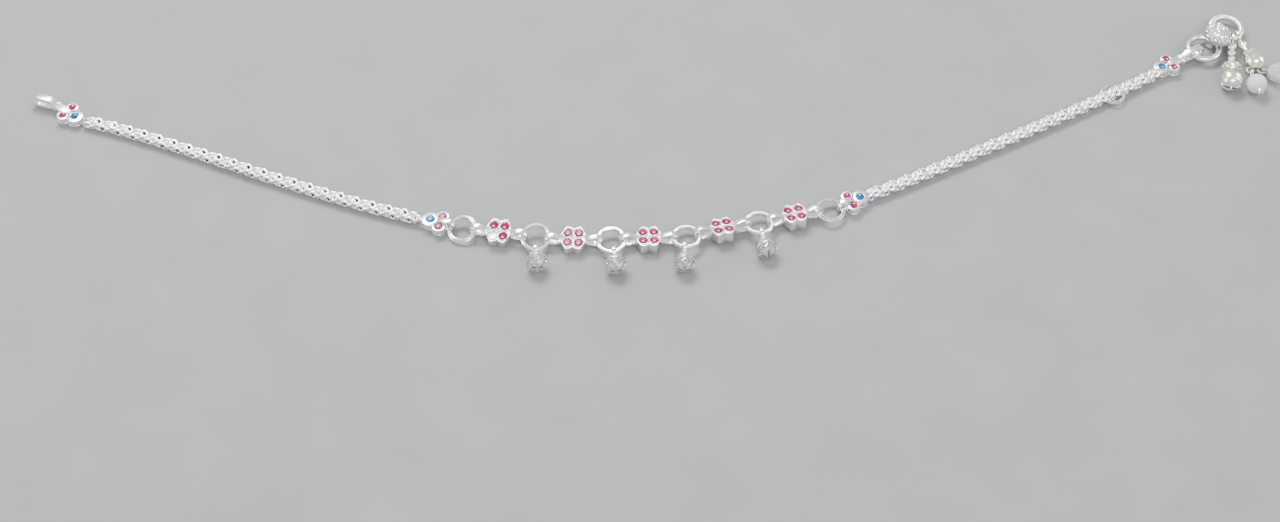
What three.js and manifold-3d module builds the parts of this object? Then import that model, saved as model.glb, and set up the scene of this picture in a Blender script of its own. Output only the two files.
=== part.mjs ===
// Silver payal anklet, unfastened and lying in a shallow curve. Millimetres, +Z up, resting on z = 0.
// Five four-stone flower links are joined by round rings, each with a small bell. Jump rings join
// them to two square woven chains that end in three-stone trefoils, a hook and a ring with a tassel.
import * as THREE from "three";
import { mergeVertices } from "three/addons/utils/BufferGeometryUtils.js";
import Module from "manifold-3d";

const wasm = await Module();
wasm.setup();

// Clearances
const WIRE_PLAY = 0.34; // between a ring's wire and the end of the loop that holds it
const SEAT_PLAY = 0.06; // between a stone and its seat
const CHAIN_GAP = 0.3; // between a chain's end and its trefoil
const TUNNEL_PLAY = 0.2; // round the size ring where it passes through the chain

// Square woven chain
const CHAIN_WIDTH = 2.4;
const LINK_PITCH = 3.6;
const LINK_DIP = 0.2; // how far the weave dips between two links
const CHAIN_CHAMFER = 0.5;
const STEPS_PER_LINK = 4;
const LEFT_LINKS = 22;
const RIGHT_LINKS = 20.5;
// Directions in which each chain leaves the middle, at even steps along its route, in degrees
const CHAIN_ROUTE = {
  left: [164, 161.5, 159, 157.5, 158, 160, 164],
  right: [26, 26.5, 27.4, 27.6, 27.6, 29.6, 33.4],
};

// Flower links
const FLOWER_WIDTH = 5.5;
const FLOWER_HEIGHT = 5.5;
const FLOWER_NOTCH = 2.2; // from the centre to the notch between two petals
const FLOWER_THICKNESS = 2.3;
const PETAL_TIP = 1.5; // how far a petal's tip stands from the flower's middle line
const PETAL_SHOULDER = { x: 2.56, y: 1.24 }; // draws in the edge between a petal's tip and the flower's side
const STONE_SPACING = 2.28;
const FLOWER_STONE = 1.9;

// Loops on the links, each with its hole lying across the anklet
const BAIL_HOLE = 1.05; // radius
const BAIL_BAND = 0.45;
const BAIL_WIDTH = 1.2;
const BAIL_NECK = 0.45;
const BAIL_ROOT = 1.5; // height of the neck where it leaves the link

// Trefoils
const BLUE_LOBE = 1.8; // radius
const PINK_LOBE = 1.35; // radius
const LOBE_SPACING = 2.72; // between the two pink lobes
const LOBE_STEP = 2.25; // from the blue lobe to the line of the pink ones
const TREFOIL_THICKNESS = 2.2;
const LOBE_CHAMFER = 0.3;
const BLUE_STONE = 1.8;
const PINK_STONE = 1.7;

// Cut of every stone, as shares of its diameter
const STONE_CUT = { table: 0.6, crown: 0.16, girdle: 0.06, pavilion: 0.4 };
const STONE_FACETS = 8;
const STONE_SINK = 0.12; // from the metal's face down to the girdle

// Rings: middle radius and wire radius
const BELL_RING = { radius: 2.8, wire: 0.47 };
const JUMP_RING = { radius: 2.75, wire: 0.45 };
const SIZE_RING = { radius: 2.5, wire: 0.36 };
const CLOSING_RING = { radius: 3.35, wire: 0.67 };
const TASSEL_RING = { radius: 3.35, wire: 0.75 };
const SIZE_RING_LINK = 17.2; // links from the right chain's start to the size ring

// Hook and the strap that holds the closing ring, both of flat strip
const NECK = { length: 2.9, width: 2.0, height: 1.4, axis: 1.5 };
const STRIP = { width: 1.5, thickness: 0.6, rise: 1.4, drop: 1.0, length: 5.6 };
const STRIP_LIP = 0.6; // length of the strip's end that turns up towards the neck
const HOOK_ROLL = 5;
const HOOK_TURN = 20;
const HOOK_OPENING = 0.9;
const STRAP_OPENING = 0.5;

// Small bells, with the outline from the foot to the neck as shares of radius and height
const BELL_RADIUS = 2.35;
const BELL_HEIGHT = 4.95;
const BELL_OUTLINE = [
  { radius: 0, height: -0.44 },
  { radius: 0.55, height: -0.38 },
  { radius: 0.86, height: -0.21 },
  { radius: 0.94, height: -0.04 },
  { radius: 1, height: 0 },
  { radius: 0.94, height: 0.05 },
  { radius: 0.84, height: 0.22 },
  { radius: 0.52, height: 0.39 },
  { radius: 0.23, height: 0.47 },
  { radius: 0.21, height: 0.56 },
  { radius: 0, height: 0.56 },
];
const BELL_EYE = { hole: 0.92, band: 0.36, width: 0.8 };
const EYE_LIFT = 0.12; // how far a bell's eye sits above the wire it hangs on

// Tassel: a textured link holds its ring to the closing ring, and two bells hang from the ring
const TEXTURED_LINK = { strip: 0.45, width: 1.7, root: 0.1, corner: 0.7, innerCorner: 0.3, play: 0.1 };
const DOME = { length: 6.8, width: 5.5, height: 1.7, offset: 0.5, turn: 59 };
const DOME_OUTLINE = [
  { radius: 0, height: 0 },
  { radius: 1, height: 0 },
  { radius: 0.96, height: 0.35 },
  { radius: 0.75, height: 0.75 },
  { radius: 0.4, height: 0.95 },
  { radius: 0, height: 1 },
];
const TASSEL_EYE = { radius: 1.52, wire: 0.26 };
const SMALL_EYE = { radius: 0.55, wire: 0.16 };
const EAR = { radius: 0.75, wire: 0.18, height: 2.0, sunk: 0.35 };
const STEM_RADIUS = 0.45;
const CROWN_BELL = { radius: 2.4, length: 13.1, at: -77, turn: -101.5 };
// Knobs on the crown bell's stem, as shares of the stem's radius
const CROWN_KNOBS = [
  { radius: 2.4, reach: 2.6 },
  { radius: 1.9, reach: 7.2 },
  { radius: 1.7, reach: 11 },
];
// Crown on the bell's shoulder, towards the stem
const CROWN_REACH = 4.03; // from the bell's middle
const CROWN_OUTLINE = [
  { radius: 0, height: -1.4 },
  { radius: 1.6, height: -1.4 },
  { radius: 1.6, height: -1.1 },
  { radius: 1.2, height: -0.8 },
  { radius: 1.2, height: -0.55 },
  { radius: 1.9, height: -0.1 },
  { radius: 1.9, height: 0.35 },
  { radius: 1.35, height: 0.7 },
  { radius: 1.15, height: 0.95 },
  { radius: 0.5, height: 1.15 },
  { radius: 0, height: 1.15 },
];
const ROUND_BELL = { radius: 2.4, length: 8.0, at: -58, turn: -72 };
const ROUND_BELL_CAP = 3; // radius, as a share of the stem's
const GLASS_BALL = { radius: 2.2, turn: -80, neck: 0.6, tip: 0.8, tipRadius: 0.75, ear: -48 };
const RIBBED_BEAD = { radius: 2.15, length: 4.8, turn: -8, ribs: 8, groove: 0.12, ear: 4 };
const BEAD_OUTLINE = [
  { radius: 0, height: -0.5 },
  { radius: 0.45, height: -0.5 },
  { radius: 0.85, height: -0.32 },
  { radius: 1, height: 0 },
  { radius: 0.85, height: 0.32 },
  { radius: 0.45, height: 0.5 },
  { radius: 0, height: 0.5 },
];

// How each flower lies: its turn, its roll, and the way to the rings before and after it
const FLOWERS = [
  { turn: -8.5, roll: 9.5, before: -8.2, after: -8.7, missing: 2 },
  { turn: -2.5, roll: 5, before: -4.5, after: -0.5 },
  { turn: 2.5, roll: -5, before: 2.3, after: 2.4 },
  { turn: 13, roll: -12.5, before: 14.5, after: 12 },
  { turn: 14.5, roll: -9, before: 14.8, after: 13.5 },
];
// How each ring between two flowers tips, and where its bell hangs and points
const RINGS = [
  { tip: 13, at: -90, bell: -84 },
  { tip: 5, at: -77, bell: -85 },
  { tip: -6, at: -98, bell: -91 },
  { tip: -5, at: -82, bell: -78 },
];
const LEFT_JUMP = { tip: 14, lean: -8.2, drop: 0.08, toTrefoil: 161, swing: 3 };
const RIGHT_JUMP = { tip: 0, lean: 4.3, drop: 0, toTrefoil: 26, swing: 1 };
const HOOK_TREFOIL_TURN = 142;
const END_TREFOIL_TURN = 30;
const CLOSING = { at: 2.6, height: 1.72, tassel: 45 };
const TASSEL_HEIGHT = 1.8;

const SILVER = { color: 0xe4e3e0, metalness: 1, roughness: 0.28 };
const PINK = { color: 0xc22a6a, metalness: 0, roughness: 0.12 };
const BLUE = { color: 0x1f86c4, metalness: 0, roughness: 0.12 };
const GLASS = { color: 0xcfc9cf, metalness: 0, roughness: 0.45 };

const toRadians = THREE.MathUtils.degToRad;

function along(start, distance, degrees, height = start.z) {
  const angle = toRadians(degrees);
  return new THREE.Vector3(
    start.x + distance * Math.cos(angle),
    start.y + distance * Math.sin(angle),
    height,
  );
}

function solid(geometry) {
  const bare = geometry.clone();
  bare.deleteAttribute("normal");
  bare.deleteAttribute("uv");
  const merged = mergeVertices(bare, 1e-5);
  const index = merged.index.array;
  const corners = [];
  for (let i = 0; i < index.length; i += 3) {
    const [a, b, c] = [index[i], index[i + 1], index[i + 2]];
    if (a !== b && b !== c && c !== a) corners.push(a, b, c);
  }
  return new wasm.Manifold(new wasm.Mesh({
    numProp: 3,
    vertProperties: new Float32Array(merged.attributes.position.array),
    triVerts: new Uint32Array(corners),
  }));
}

function geometryOf(body) {
  const mesh = body.getMesh();
  const geometry = new THREE.BufferGeometry();
  geometry.setAttribute("position", new THREE.BufferAttribute(new Float32Array(mesh.vertProperties), 3));
  geometry.setIndex(new THREE.BufferAttribute(new Uint32Array(mesh.triVerts), 1));
  geometry.computeVertexNormals();
  return geometry;
}

function joined(geometries) {
  return geometries.map(solid).reduce((whole, part) => whole.add(part));
}

function piece(name, geometry, finish) {
  const mesh = new THREE.Mesh(geometry, new THREE.MeshStandardMaterial({ ...finish, flatShading: true }));
  mesh.name = name;
  return mesh;
}

// A group turned about Z, then pitched down and rolled about its own X
function placed(position, turn, children, { pitch = 0, roll = 0 } = {}) {
  const group = new THREE.Group();
  group.position.copy(position);
  group.rotation.set(toRadians(roll), toRadians(pitch), toRadians(turn), "ZYX");
  group.add(...children);
  return group;
}

// Turns an extruded flat outline upright, so that it stands in the X-Z plane, centred on Y
function upright(shape, width, curveSegments = 6) {
  const geometry = new THREE.ExtrudeGeometry(shape, { depth: width, bevelEnabled: false, curveSegments });
  geometry.translate(0, 0, -width / 2);
  geometry.rotateX(Math.PI / 2);
  return geometry;
}

function wireRing({ radius, wire }, around = 14, sides = 6) {
  return new THREE.TorusGeometry(radius, wire, sides, around);
}

function standingLoop({ radius, wire }, around = 10) {
  return wireRing({ radius, wire }, around, 5).rotateX(Math.PI / 2);
}

function turned(outline, sides) {
  return new THREE.LatheGeometry(outline.map(([radius, height]) => new THREE.Vector2(radius, height)), sides);
}

// Stones and their seats, with the girdle on the origin's plane
function stone(diameter) {
  const { table, crown, girdle, pavilion } = STONE_CUT;
  const radius = diameter / 2;
  const rim = girdle * radius;
  const outline = [
    [0, -rim - pavilion * diameter],
    [radius, -rim],
    [radius, rim],
    [table * radius, rim + crown * diameter],
    [0, rim + crown * diameter],
  ];
  return turned(outline, STONE_FACETS).rotateX(Math.PI / 2);
}

function seat(diameter) {
  const { girdle, pavilion } = STONE_CUT;
  const radius = diameter / 2 + SEAT_PLAY;
  const rim = girdle * radius + SEAT_PLAY;
  const outline = [
    [0, -rim - pavilion * diameter - SEAT_PLAY],
    [radius, -rim],
    [radius, diameter],
    [0, diameter],
  ];
  return turned(outline, STONE_FACETS).rotateX(Math.PI / 2);
}

function cutSeats(body, seats, thickness) {
  return seats.reduce((rest, { x, y, diameter }) => {
    const tool = seat(diameter).translate(x, y, thickness - STONE_SINK);
    return rest.subtract(solid(tool));
  }, body);
}

// A loop of strip in the X-Z plane: its root is at X = 0 and its hole takes a ring's wire
const BAIL_OUTER = BAIL_HOLE + BAIL_BAND;

function bail(neck) {
  const centre = neck + BAIL_OUTER;
  const quarter = Math.PI / 2;
  const shape = new THREE.Shape();
  shape.moveTo(-BAIL_BAND, BAIL_OUTER - BAIL_ROOT / 2);
  shape.lineTo(neck / 2, BAIL_OUTER - BAIL_ROOT / 2);
  shape.absarc(centre, BAIL_OUTER, BAIL_OUTER, -quarter, quarter, false);
  shape.lineTo(neck / 2, BAIL_OUTER + BAIL_ROOT / 2);
  shape.lineTo(-BAIL_BAND, BAIL_OUTER + BAIL_ROOT / 2);
  const hole = new THREE.Path();
  hole.moveTo(neck / 2 + BAIL_BAND, BAIL_OUTER + BAIL_HOLE / 2);
  hole.lineTo(neck / 2 + BAIL_BAND, BAIL_OUTER - BAIL_HOLE / 2);
  hole.lineTo(centre, BAIL_BAND);
  hole.absarc(centre, BAIL_OUTER, BAIL_HOLE, -quarter, quarter, false);
  shape.holes.push(hole);
  return upright(shape, BAIL_WIDTH, 7);
}

// From a link's edge to the wire that its bail holds
function wireReach(neck, wire) {
  return neck + BAIL_OUTER + BAIL_HOLE - WIRE_PLAY - wire;
}

function flowerOutline() {
  const side = FLOWER_WIDTH / 2;
  const tip = FLOWER_HEIGHT / 2;
  const quarter = [
    ...new THREE.QuadraticBezierCurve(
      new THREE.Vector2(side, 0),
      new THREE.Vector2(PETAL_SHOULDER.x, PETAL_SHOULDER.y),
      new THREE.Vector2(PETAL_TIP, tip),
    ).getPoints(3),
    ...new THREE.QuadraticBezierCurve(
      new THREE.Vector2(PETAL_TIP, tip),
      new THREE.Vector2(PETAL_TIP / 3, tip),
      new THREE.Vector2(0, FLOWER_NOTCH),
    ).getPoints(2).slice(1),
  ];
  const mirrored = (x, y, backwards) => {
    const points = quarter.map((point) => new THREE.Vector2(point.x * x, point.y * y));
    return (backwards ? points.reverse() : points).slice(1);
  };
  return new THREE.Shape([
    ...mirrored(1, 1, false),
    ...mirrored(-1, 1, true),
    ...mirrored(-1, -1, false),
    ...mirrored(1, -1, true),
  ]);
}

const FLOWER_SEATS = [[-1, 1], [1, 1], [-1, -1], [1, -1]].map(([x, y]) => ({
  x: (x * STONE_SPACING) / 2,
  y: (y * STONE_SPACING) / 2,
  diameter: FLOWER_STONE,
}));

function flowerBody() {
  const plate = new THREE.ExtrudeGeometry(flowerOutline(), { depth: FLOWER_THICKNESS, bevelEnabled: false });
  const rightBail = bail(BAIL_NECK).translate(FLOWER_WIDTH / 2, 0, 0);
  const leftBail = rightBail.clone().rotateZ(Math.PI);
  return cutSeats(joined([plate, rightBail, leftBail]), FLOWER_SEATS, FLOWER_THICKNESS);
}

// Trefoils: the blue lobe is towards -X and the two pink ones towards +X
const TREFOIL_HALF = (BLUE_LOBE + LOBE_STEP + PINK_LOBE) / 2;
const BLUE_X = BLUE_LOBE - TREFOIL_HALF;
const PINK_X = BLUE_X + LOBE_STEP;
const TREFOIL_SEATS = [
  { x: BLUE_X, y: 0, diameter: BLUE_STONE },
  { x: PINK_X, y: LOBE_SPACING / 2, diameter: PINK_STONE },
  { x: PINK_X, y: -LOBE_SPACING / 2, diameter: PINK_STONE },
];

function lobe(radius, x, y) {
  const shoulder = TREFOIL_THICKNESS - LOBE_CHAMFER;
  const outline = [
    [0, 0],
    [radius, 0],
    [radius, shoulder],
    [radius - LOBE_CHAMFER, TREFOIL_THICKNESS],
    [0, TREFOIL_THICKNESS],
  ];
  return turned(outline, 16).rotateX(Math.PI / 2).translate(x, y, 0);
}

function trefoilBody(fittings) {
  const lobes = [
    lobe(BLUE_LOBE, BLUE_X, 0),
    lobe(PINK_LOBE, PINK_X, LOBE_SPACING / 2),
    lobe(PINK_LOBE, PINK_X, -LOBE_SPACING / 2),
  ];
  return cutSeats(joined([...lobes, ...fittings]), TREFOIL_SEATS, TREFOIL_THICKNESS);
}

// The blue lobe stands clear of its chain's end, whichever way the trefoil is turned
const LOBE_REACH = BLUE_LOBE + CHAIN_GAP;
const TREFOIL_BAIL_ROOT = BLUE_X + BLUE_LOBE;
const TREFOIL_BAIL_NECK = TREFOIL_HALF - TREFOIL_BAIL_ROOT - BAIL_HOLE;

// Strip bent back under itself, from the neck's end: its middle line stays in the X-Z plane
function bentStrip(opening) {
  const bend = (STRIP.rise + STRIP.drop) / 2;
  const bendX = STRIP.length - bend - STRIP.thickness / 2;
  const bendZ = STRIP.rise - bend;
  const line = [
    new THREE.Vector2(-STRIP.thickness, 0),
    new THREE.Vector2(0.1, 0.25 * STRIP.rise),
    new THREE.Vector2(0.28 * bendX, 0.85 * STRIP.rise),
    new THREE.Vector2(0.55 * bendX, STRIP.rise),
  ];
  for (let step = 0; step <= 6; step += 1) {
    const angle = Math.PI / 2 - (step * Math.PI) / 6;
    line.push(new THREE.Vector2(bendX + bend * Math.cos(angle), bendZ + bend * Math.sin(angle)));
  }
  line.push(new THREE.Vector2(opening + STRIP_LIP, -STRIP.drop));
  line.push(new THREE.Vector2(opening, -0.8 * STRIP.drop));
  const sides = { over: [], under: [] };
  line.forEach((point, i) => {
    const before = line[Math.max(i - 1, 0)];
    const after = line[Math.min(i + 1, line.length - 1)];
    const way = after.clone().sub(before).normalize().multiplyScalar(STRIP.thickness / 2);
    sides.over.push(new THREE.Vector2(point.x - way.y, point.y + way.x));
    sides.under.push(new THREE.Vector2(point.x + way.y, point.y - way.x));
  });
  return upright(new THREE.Shape([...sides.over, ...sides.under.reverse()]), STRIP.width);
}

const NECK_START = TREFOIL_HALF - PINK_LOBE / 2;
const NECK_END = NECK_START + NECK.length;

function neckAndStrip({ opening, roll, turn }) {
  const overlap = NECK_START - TREFOIL_BAIL_ROOT + BAIL_BAND;
  const block = new THREE.BoxGeometry(NECK.length + overlap, NECK.width, NECK.height);
  block.translate((NECK.length - overlap) / 2 + NECK_START, 0, NECK.axis);
  const strip = bentStrip(opening).rotateX(toRadians(roll)).rotateZ(toRadians(turn));
  strip.translate(NECK_END, 0, NECK.axis);
  return [block, strip];
}

// Chain: a bar of eight sides whose top and bottom dip at each link, and its sides half a link on
function chainRoute(start, headings, links) {
  const count = links * STEPS_PER_LINK;
  const step = LINK_PITCH / STEPS_PER_LINK;
  const stops = [];
  let point = start.clone();
  for (let i = 0; i <= count; i += 1) {
    const place = (i / count) * (headings.length - 1);
    const below = Math.min(Math.floor(place), headings.length - 2);
    const turn = THREE.MathUtils.lerp(headings[below], headings[below + 1], place - below);
    stops.push({ point: point.clone(), turn, phase: i % STEPS_PER_LINK, end: i === 0 || i === count });
    point = along(point, step, turn);
  }
  return stops;
}

function chainSection({ point, turn, phase, end }) {
  const across = CHAIN_WIDTH / 2 - (phase === STEPS_PER_LINK / 2 ? LINK_DIP : 0);
  const up = CHAIN_WIDTH / 2 - (phase === 0 && !end ? LINK_DIP : 0);
  const middle = CHAIN_WIDTH / 2;
  const corners = [
    [across, up - CHAIN_CHAMFER], [across - CHAIN_CHAMFER, up],
    [CHAIN_CHAMFER - across, up], [-across, up - CHAIN_CHAMFER],
    [-across, CHAIN_CHAMFER - up], [CHAIN_CHAMFER - across, -up],
    [across - CHAIN_CHAMFER, -up], [across, CHAIN_CHAMFER - up],
  ];
  return corners.map(([side, height]) => along(point, side, turn + 90, middle + height));
}

function loft(sections) {
  const sides = sections[0].length;
  const corners = sections.flat().flatMap((corner) => corner.toArray());
  const faces = [];
  for (let row = 0; row < sections.length - 1; row += 1) {
    for (let i = 0; i < sides; i += 1) {
      const a = row * sides + i;
      const b = row * sides + ((i + 1) % sides);
      faces.push(a, b, a + sides, b, b + sides, a + sides);
    }
  }
  const last = (sections.length - 1) * sides;
  for (let i = 1; i < sides - 1; i += 1) {
    faces.push(0, i + 1, i, last, last + i, last + i + 1);
  }
  const geometry = new THREE.BufferGeometry();
  geometry.setAttribute("position", new THREE.Float32BufferAttribute(corners, 3));
  geometry.setIndex(faces);
  geometry.computeVertexNormals();
  return geometry;
}

// Bells and drops: the eye's hole is at the origin and the body lies towards +X
function outlineOf(rows, radius, height) {
  return rows.map((row) => [row.radius * radius, row.height * height]);
}

function lyingTurned(outline, sides, centre) {
  return turned(outline, sides).rotateZ(Math.PI / 2).translate(centre, 0, 0);
}

const EYE_OUTER = BELL_EYE.hole + BELL_EYE.band;
const BELL_TOP = BELL_OUTLINE[BELL_OUTLINE.length - 1].height * BELL_HEIGHT;
const BELL_CENTRE = EYE_OUTER + BELL_TOP - BELL_EYE.band / 2;

function smallBell() {
  const eye = new THREE.Shape();
  eye.absarc(0, 0, EYE_OUTER, 0, 2 * Math.PI, false);
  const hole = new THREE.Path();
  hole.absarc(0, 0, BELL_EYE.hole, 0, 2 * Math.PI, true);
  eye.holes.push(hole);
  const body = lyingTurned(outlineOf(BELL_OUTLINE, BELL_RADIUS, BELL_HEIGHT), 12, BELL_CENTRE);
  return joined([upright(eye, BELL_EYE.width, 12), body]);
}

function rod(radius, from, to, sides = 8) {
  const length = to - from;
  return new THREE.CylinderGeometry(radius, radius, length, sides).rotateZ(Math.PI / 2)
    .translate((from + to) / 2, 0, 0);
}

function ball(radius, centre, sides = 12) {
  return new THREE.SphereGeometry(radius, sides, sides / 2 + 2).rotateZ(Math.PI / 2).translate(centre, 0, 0);
}

function stemKnob({ radius, reach }) {
  return ball(radius * STEM_RADIUS, TASSEL_EYE.radius + reach * STEM_RADIUS, 10);
}

function crownBell() {
  const { radius, length } = CROWN_BELL;
  return joined([
    standingLoop(TASSEL_EYE),
    rod(STEM_RADIUS, TASSEL_EYE.radius, length),
    ...CROWN_KNOBS.map(stemKnob),
    lyingTurned(outlineOf(CROWN_OUTLINE, 1, 1), 12, length - CROWN_REACH),
    ball(radius, length),
  ]);
}

// Where an ear is soldered on the round bell, from the middle of the eye; its angle is from the axis
const EAR_REACH = ROUND_BELL.radius + EAR.radius - EAR.sunk;

function earPlace(angle) {
  return new THREE.Vector3(
    ROUND_BELL.length + EAR_REACH * Math.cos(toRadians(angle)),
    EAR_REACH * Math.sin(toRadians(angle)),
    EAR.height - ROUND_BELL.radius,
  );
}

function roundBell() {
  const { radius, length } = ROUND_BELL;
  const ears = [GLASS_BALL, RIBBED_BEAD].map(({ ear }) => wireRing(EAR, 10, 5).translate(...earPlace(ear)));
  return joined([
    standingLoop(TASSEL_EYE),
    rod(STEM_RADIUS, TASSEL_EYE.radius, length),
    stemKnob(CROWN_KNOBS[0]),
    ball(ROUND_BELL_CAP * STEM_RADIUS, length - radius - STEM_RADIUS, 10),
    ball(radius, length),
    ...ears,
  ]);
}

function glassBall() {
  const { radius, neck, tip, tipRadius } = GLASS_BALL;
  const centre = radius + neck + SMALL_EYE.radius;
  return joined([
    standingLoop(SMALL_EYE),
    rod(2 * SMALL_EYE.wire, SMALL_EYE.radius, centre),
    ball(radius, centre),
    rod(tipRadius, centre + radius * 0.9, centre + radius + tip),
  ]);
}

function ribbedBead() {
  const { radius, length, ribs, groove } = RIBBED_BEAD;
  const centre = length / 2 + SMALL_EYE.radius;
  const bead = turned(outlineOf(BEAD_OUTLINE, radius, length), 2 * ribs);
  const position = bead.attributes.position;
  for (let i = 0; i < position.count; i += 1) {
    const rib = Math.round((Math.atan2(position.getX(i), position.getZ(i)) * ribs) / Math.PI);
    const scale = rib % 2 === 0 ? 1 : 1 - groove;
    position.setXYZ(i, position.getX(i) * scale, position.getY(i), position.getZ(i) * scale);
  }
  bead.rotateZ(Math.PI / 2).translate(centre, 0, 0);
  return joined([standingLoop(SMALL_EYE), bead]);
}

// Stations: flowers are laid out from the middle one outwards
const anklet = new THREE.Group();
const middle = new THREE.Vector3(0, 0, 0);
const flowerReach = FLOWER_WIDTH / 2 + wireReach(BAIL_NECK, BELL_RING.wire) + BELL_RING.radius;
const jumpReach = FLOWER_WIDTH / 2 + wireReach(BAIL_NECK, JUMP_RING.wire) + JUMP_RING.radius;
const trefoilReach = TREFOIL_BAIL_ROOT + wireReach(TREFOIL_BAIL_NECK, JUMP_RING.wire) + JUMP_RING.radius;

const flowerPlaces = [];
const ringPlaces = [];
flowerPlaces[2] = middle;
for (const i of [2, 3]) {
  ringPlaces[i] = along(flowerPlaces[i], flowerReach, FLOWERS[i].after);
  flowerPlaces[i + 1] = along(ringPlaces[i], flowerReach, FLOWERS[i + 1].before);
}
for (const i of [2, 1]) {
  ringPlaces[i - 1] = along(flowerPlaces[i], -flowerReach, FLOWERS[i].before);
  flowerPlaces[i - 1] = along(ringPlaces[i - 1], -flowerReach, FLOWERS[i - 1].after);
}

const flowerLifts = FLOWERS.map(({ roll }) => (FLOWER_HEIGHT / 2) * Math.abs(Math.sin(toRadians(roll))));
const bailHeights = FLOWERS.map(({ roll }, i) => flowerLifts[i] + BAIL_OUTER * Math.cos(toRadians(roll)));

function addStones(name, seats, thickness, finishes, missing) {
  return seats.flatMap(({ x, y, diameter }, i) => {
    if (i === missing) return [];
    const gem = piece(`${name}_${i + 1}`, stone(diameter), finishes[i]);
    gem.position.set(x, y, thickness - STONE_SINK);
    return [gem];
  });
}

const flowerGeometry = geometryOf(flowerBody());
const flowerFinishes = [PINK, PINK, PINK, PINK];
FLOWERS.forEach(({ turn, roll, missing }, i) => {
  const link = piece(`flower_link_${i + 1}`, flowerGeometry.clone(), SILVER);
  const gems = addStones(`flower_${i + 1}_stone`, FLOWER_SEATS, FLOWER_THICKNESS, flowerFinishes, missing);
  const place = along(flowerPlaces[i], BAIL_OUTER * Math.sin(toRadians(roll)), turn + 90, flowerLifts[i]);
  anklet.add(placed(place, turn, [link, ...gems], { roll }));
});

const bellGeometry = geometryOf(smallBell());
RINGS.forEach(({ tip, at, bell }, i) => {
  const height = (bailHeights[i] + bailHeights[i + 1]) / 2;
  const centre = ringPlaces[i].clone().setZ(height);
  const ring = piece(`bell_ring_${i + 1}`, wireRing(BELL_RING), SILVER);
  anklet.add(placed(centre, 0, [ring], { roll: tip }));
  const wire = along(centre, BELL_RING.radius, at);
  const front = centre.y - wire.y;
  wire.y = centre.y - front * Math.cos(toRadians(tip));
  wire.z = height - front * Math.sin(toRadians(tip));
  const eye = along(wire, WIRE_PLAY / 2, bell, wire.z + EYE_LIFT);
  const pitch = THREE.MathUtils.radToDeg(Math.asin((eye.z - BELL_RADIUS) / BELL_CENTRE));
  anklet.add(placed(eye, bell, [piece(`bell_${i + 1}`, bellGeometry.clone(), SILVER)], { pitch }));
});

// Jump rings and the trefoils beside them
const trefoilFinishes = [BLUE, PINK, PINK];
function addTrefoil(name, place, turn, fittings) {
  const body = piece(name, geometryOf(trefoilBody(fittings)), SILVER);
  const gems = addStones(`${name}_stone`, TREFOIL_SEATS, TREFOIL_THICKNESS, trefoilFinishes);
  anklet.add(placed(place, turn, [body, ...gems]));
}

function addJumpRing(name, centre, { tip, lean }) {
  anklet.add(placed(centre, 0, [piece(name, wireRing(JUMP_RING), SILVER)], { roll: tip, pitch: lean }));
}

function trefoilFitting() {
  return [bail(TREFOIL_BAIL_NECK).translate(TREFOIL_BAIL_ROOT, 0, 0)];
}

const jumpHeight = (flowerBail, { drop }) => (flowerBail + BAIL_OUTER) / 2 - drop;
const leftJump = along(flowerPlaces[0], -jumpReach, FLOWERS[0].before, jumpHeight(bailHeights[0], LEFT_JUMP));
const rightJump = along(flowerPlaces[4], jumpReach, FLOWERS[4].after, jumpHeight(bailHeights[4], RIGHT_JUMP));
addJumpRing("jump_ring_left", leftJump, LEFT_JUMP);
addJumpRing("jump_ring_right", rightJump, RIGHT_JUMP);

const leftTurn = LEFT_JUMP.toTrefoil + LEFT_JUMP.swing;
const rightTurn = RIGHT_JUMP.toTrefoil + RIGHT_JUMP.swing;
const innerLeft = along(leftJump, trefoilReach, LEFT_JUMP.toTrefoil, 0);
const innerRight = along(rightJump, trefoilReach, RIGHT_JUMP.toTrefoil, 0);
addTrefoil("inner_left_trefoil", innerLeft, leftTurn + 180, trefoilFitting());
addTrefoil("inner_right_trefoil", innerRight, rightTurn + 180, trefoilFitting());

// Chains and the trefoils at their outer ends
function chainFrom(place, turn, headings, links) {
  const start = along(along(place, -BLUE_X, turn), LOBE_REACH, headings[0]);
  return chainRoute(start, headings, links);
}

function trefoilAfter(route, turn) {
  const end = route[route.length - 1];
  return along(along(end.point, LOBE_REACH, end.turn), -BLUE_X, turn);
}

const leftRoute = chainFrom(innerLeft, leftTurn, CHAIN_ROUTE.left, LEFT_LINKS);
const rightRoute = chainFrom(innerRight, rightTurn, CHAIN_ROUTE.right, RIGHT_LINKS);

const sizeStop = rightRoute[Math.round(SIZE_RING_LINK * STEPS_PER_LINK)];
const sizeRing = wireRing(SIZE_RING);
const tunnel = wireRing({ radius: SIZE_RING.radius, wire: SIZE_RING.wire + TUNNEL_PLAY });
const sizePlace = sizeStop.point.clone().setZ(CHAIN_WIDTH / 2);
tunnel.translate(sizePlace.x, sizePlace.y, sizePlace.z);
const rightChain = solid(loft(rightRoute.map(chainSection))).subtract(solid(tunnel));
anklet.add(piece("chain_left", loft(leftRoute.map(chainSection)), SILVER));
anklet.add(piece("chain_right", geometryOf(rightChain), SILVER));
anklet.add(placed(sizePlace, 0, [piece("adjusting_ring", sizeRing, SILVER)]));

const hookTrefoil = trefoilAfter(leftRoute, HOOK_TREFOIL_TURN);
const hookParts = neckAndStrip({ opening: HOOK_OPENING, roll: HOOK_ROLL, turn: HOOK_TURN });
addTrefoil("hook_trefoil", hookTrefoil, HOOK_TREFOIL_TURN, hookParts);

const endTrefoil = trefoilAfter(rightRoute, END_TREFOIL_TURN);
const strapParts = neckAndStrip({ opening: STRAP_OPENING, roll: 0, turn: 0 });
addTrefoil("end_trefoil", endTrefoil, END_TREFOIL_TURN, strapParts);

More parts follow.
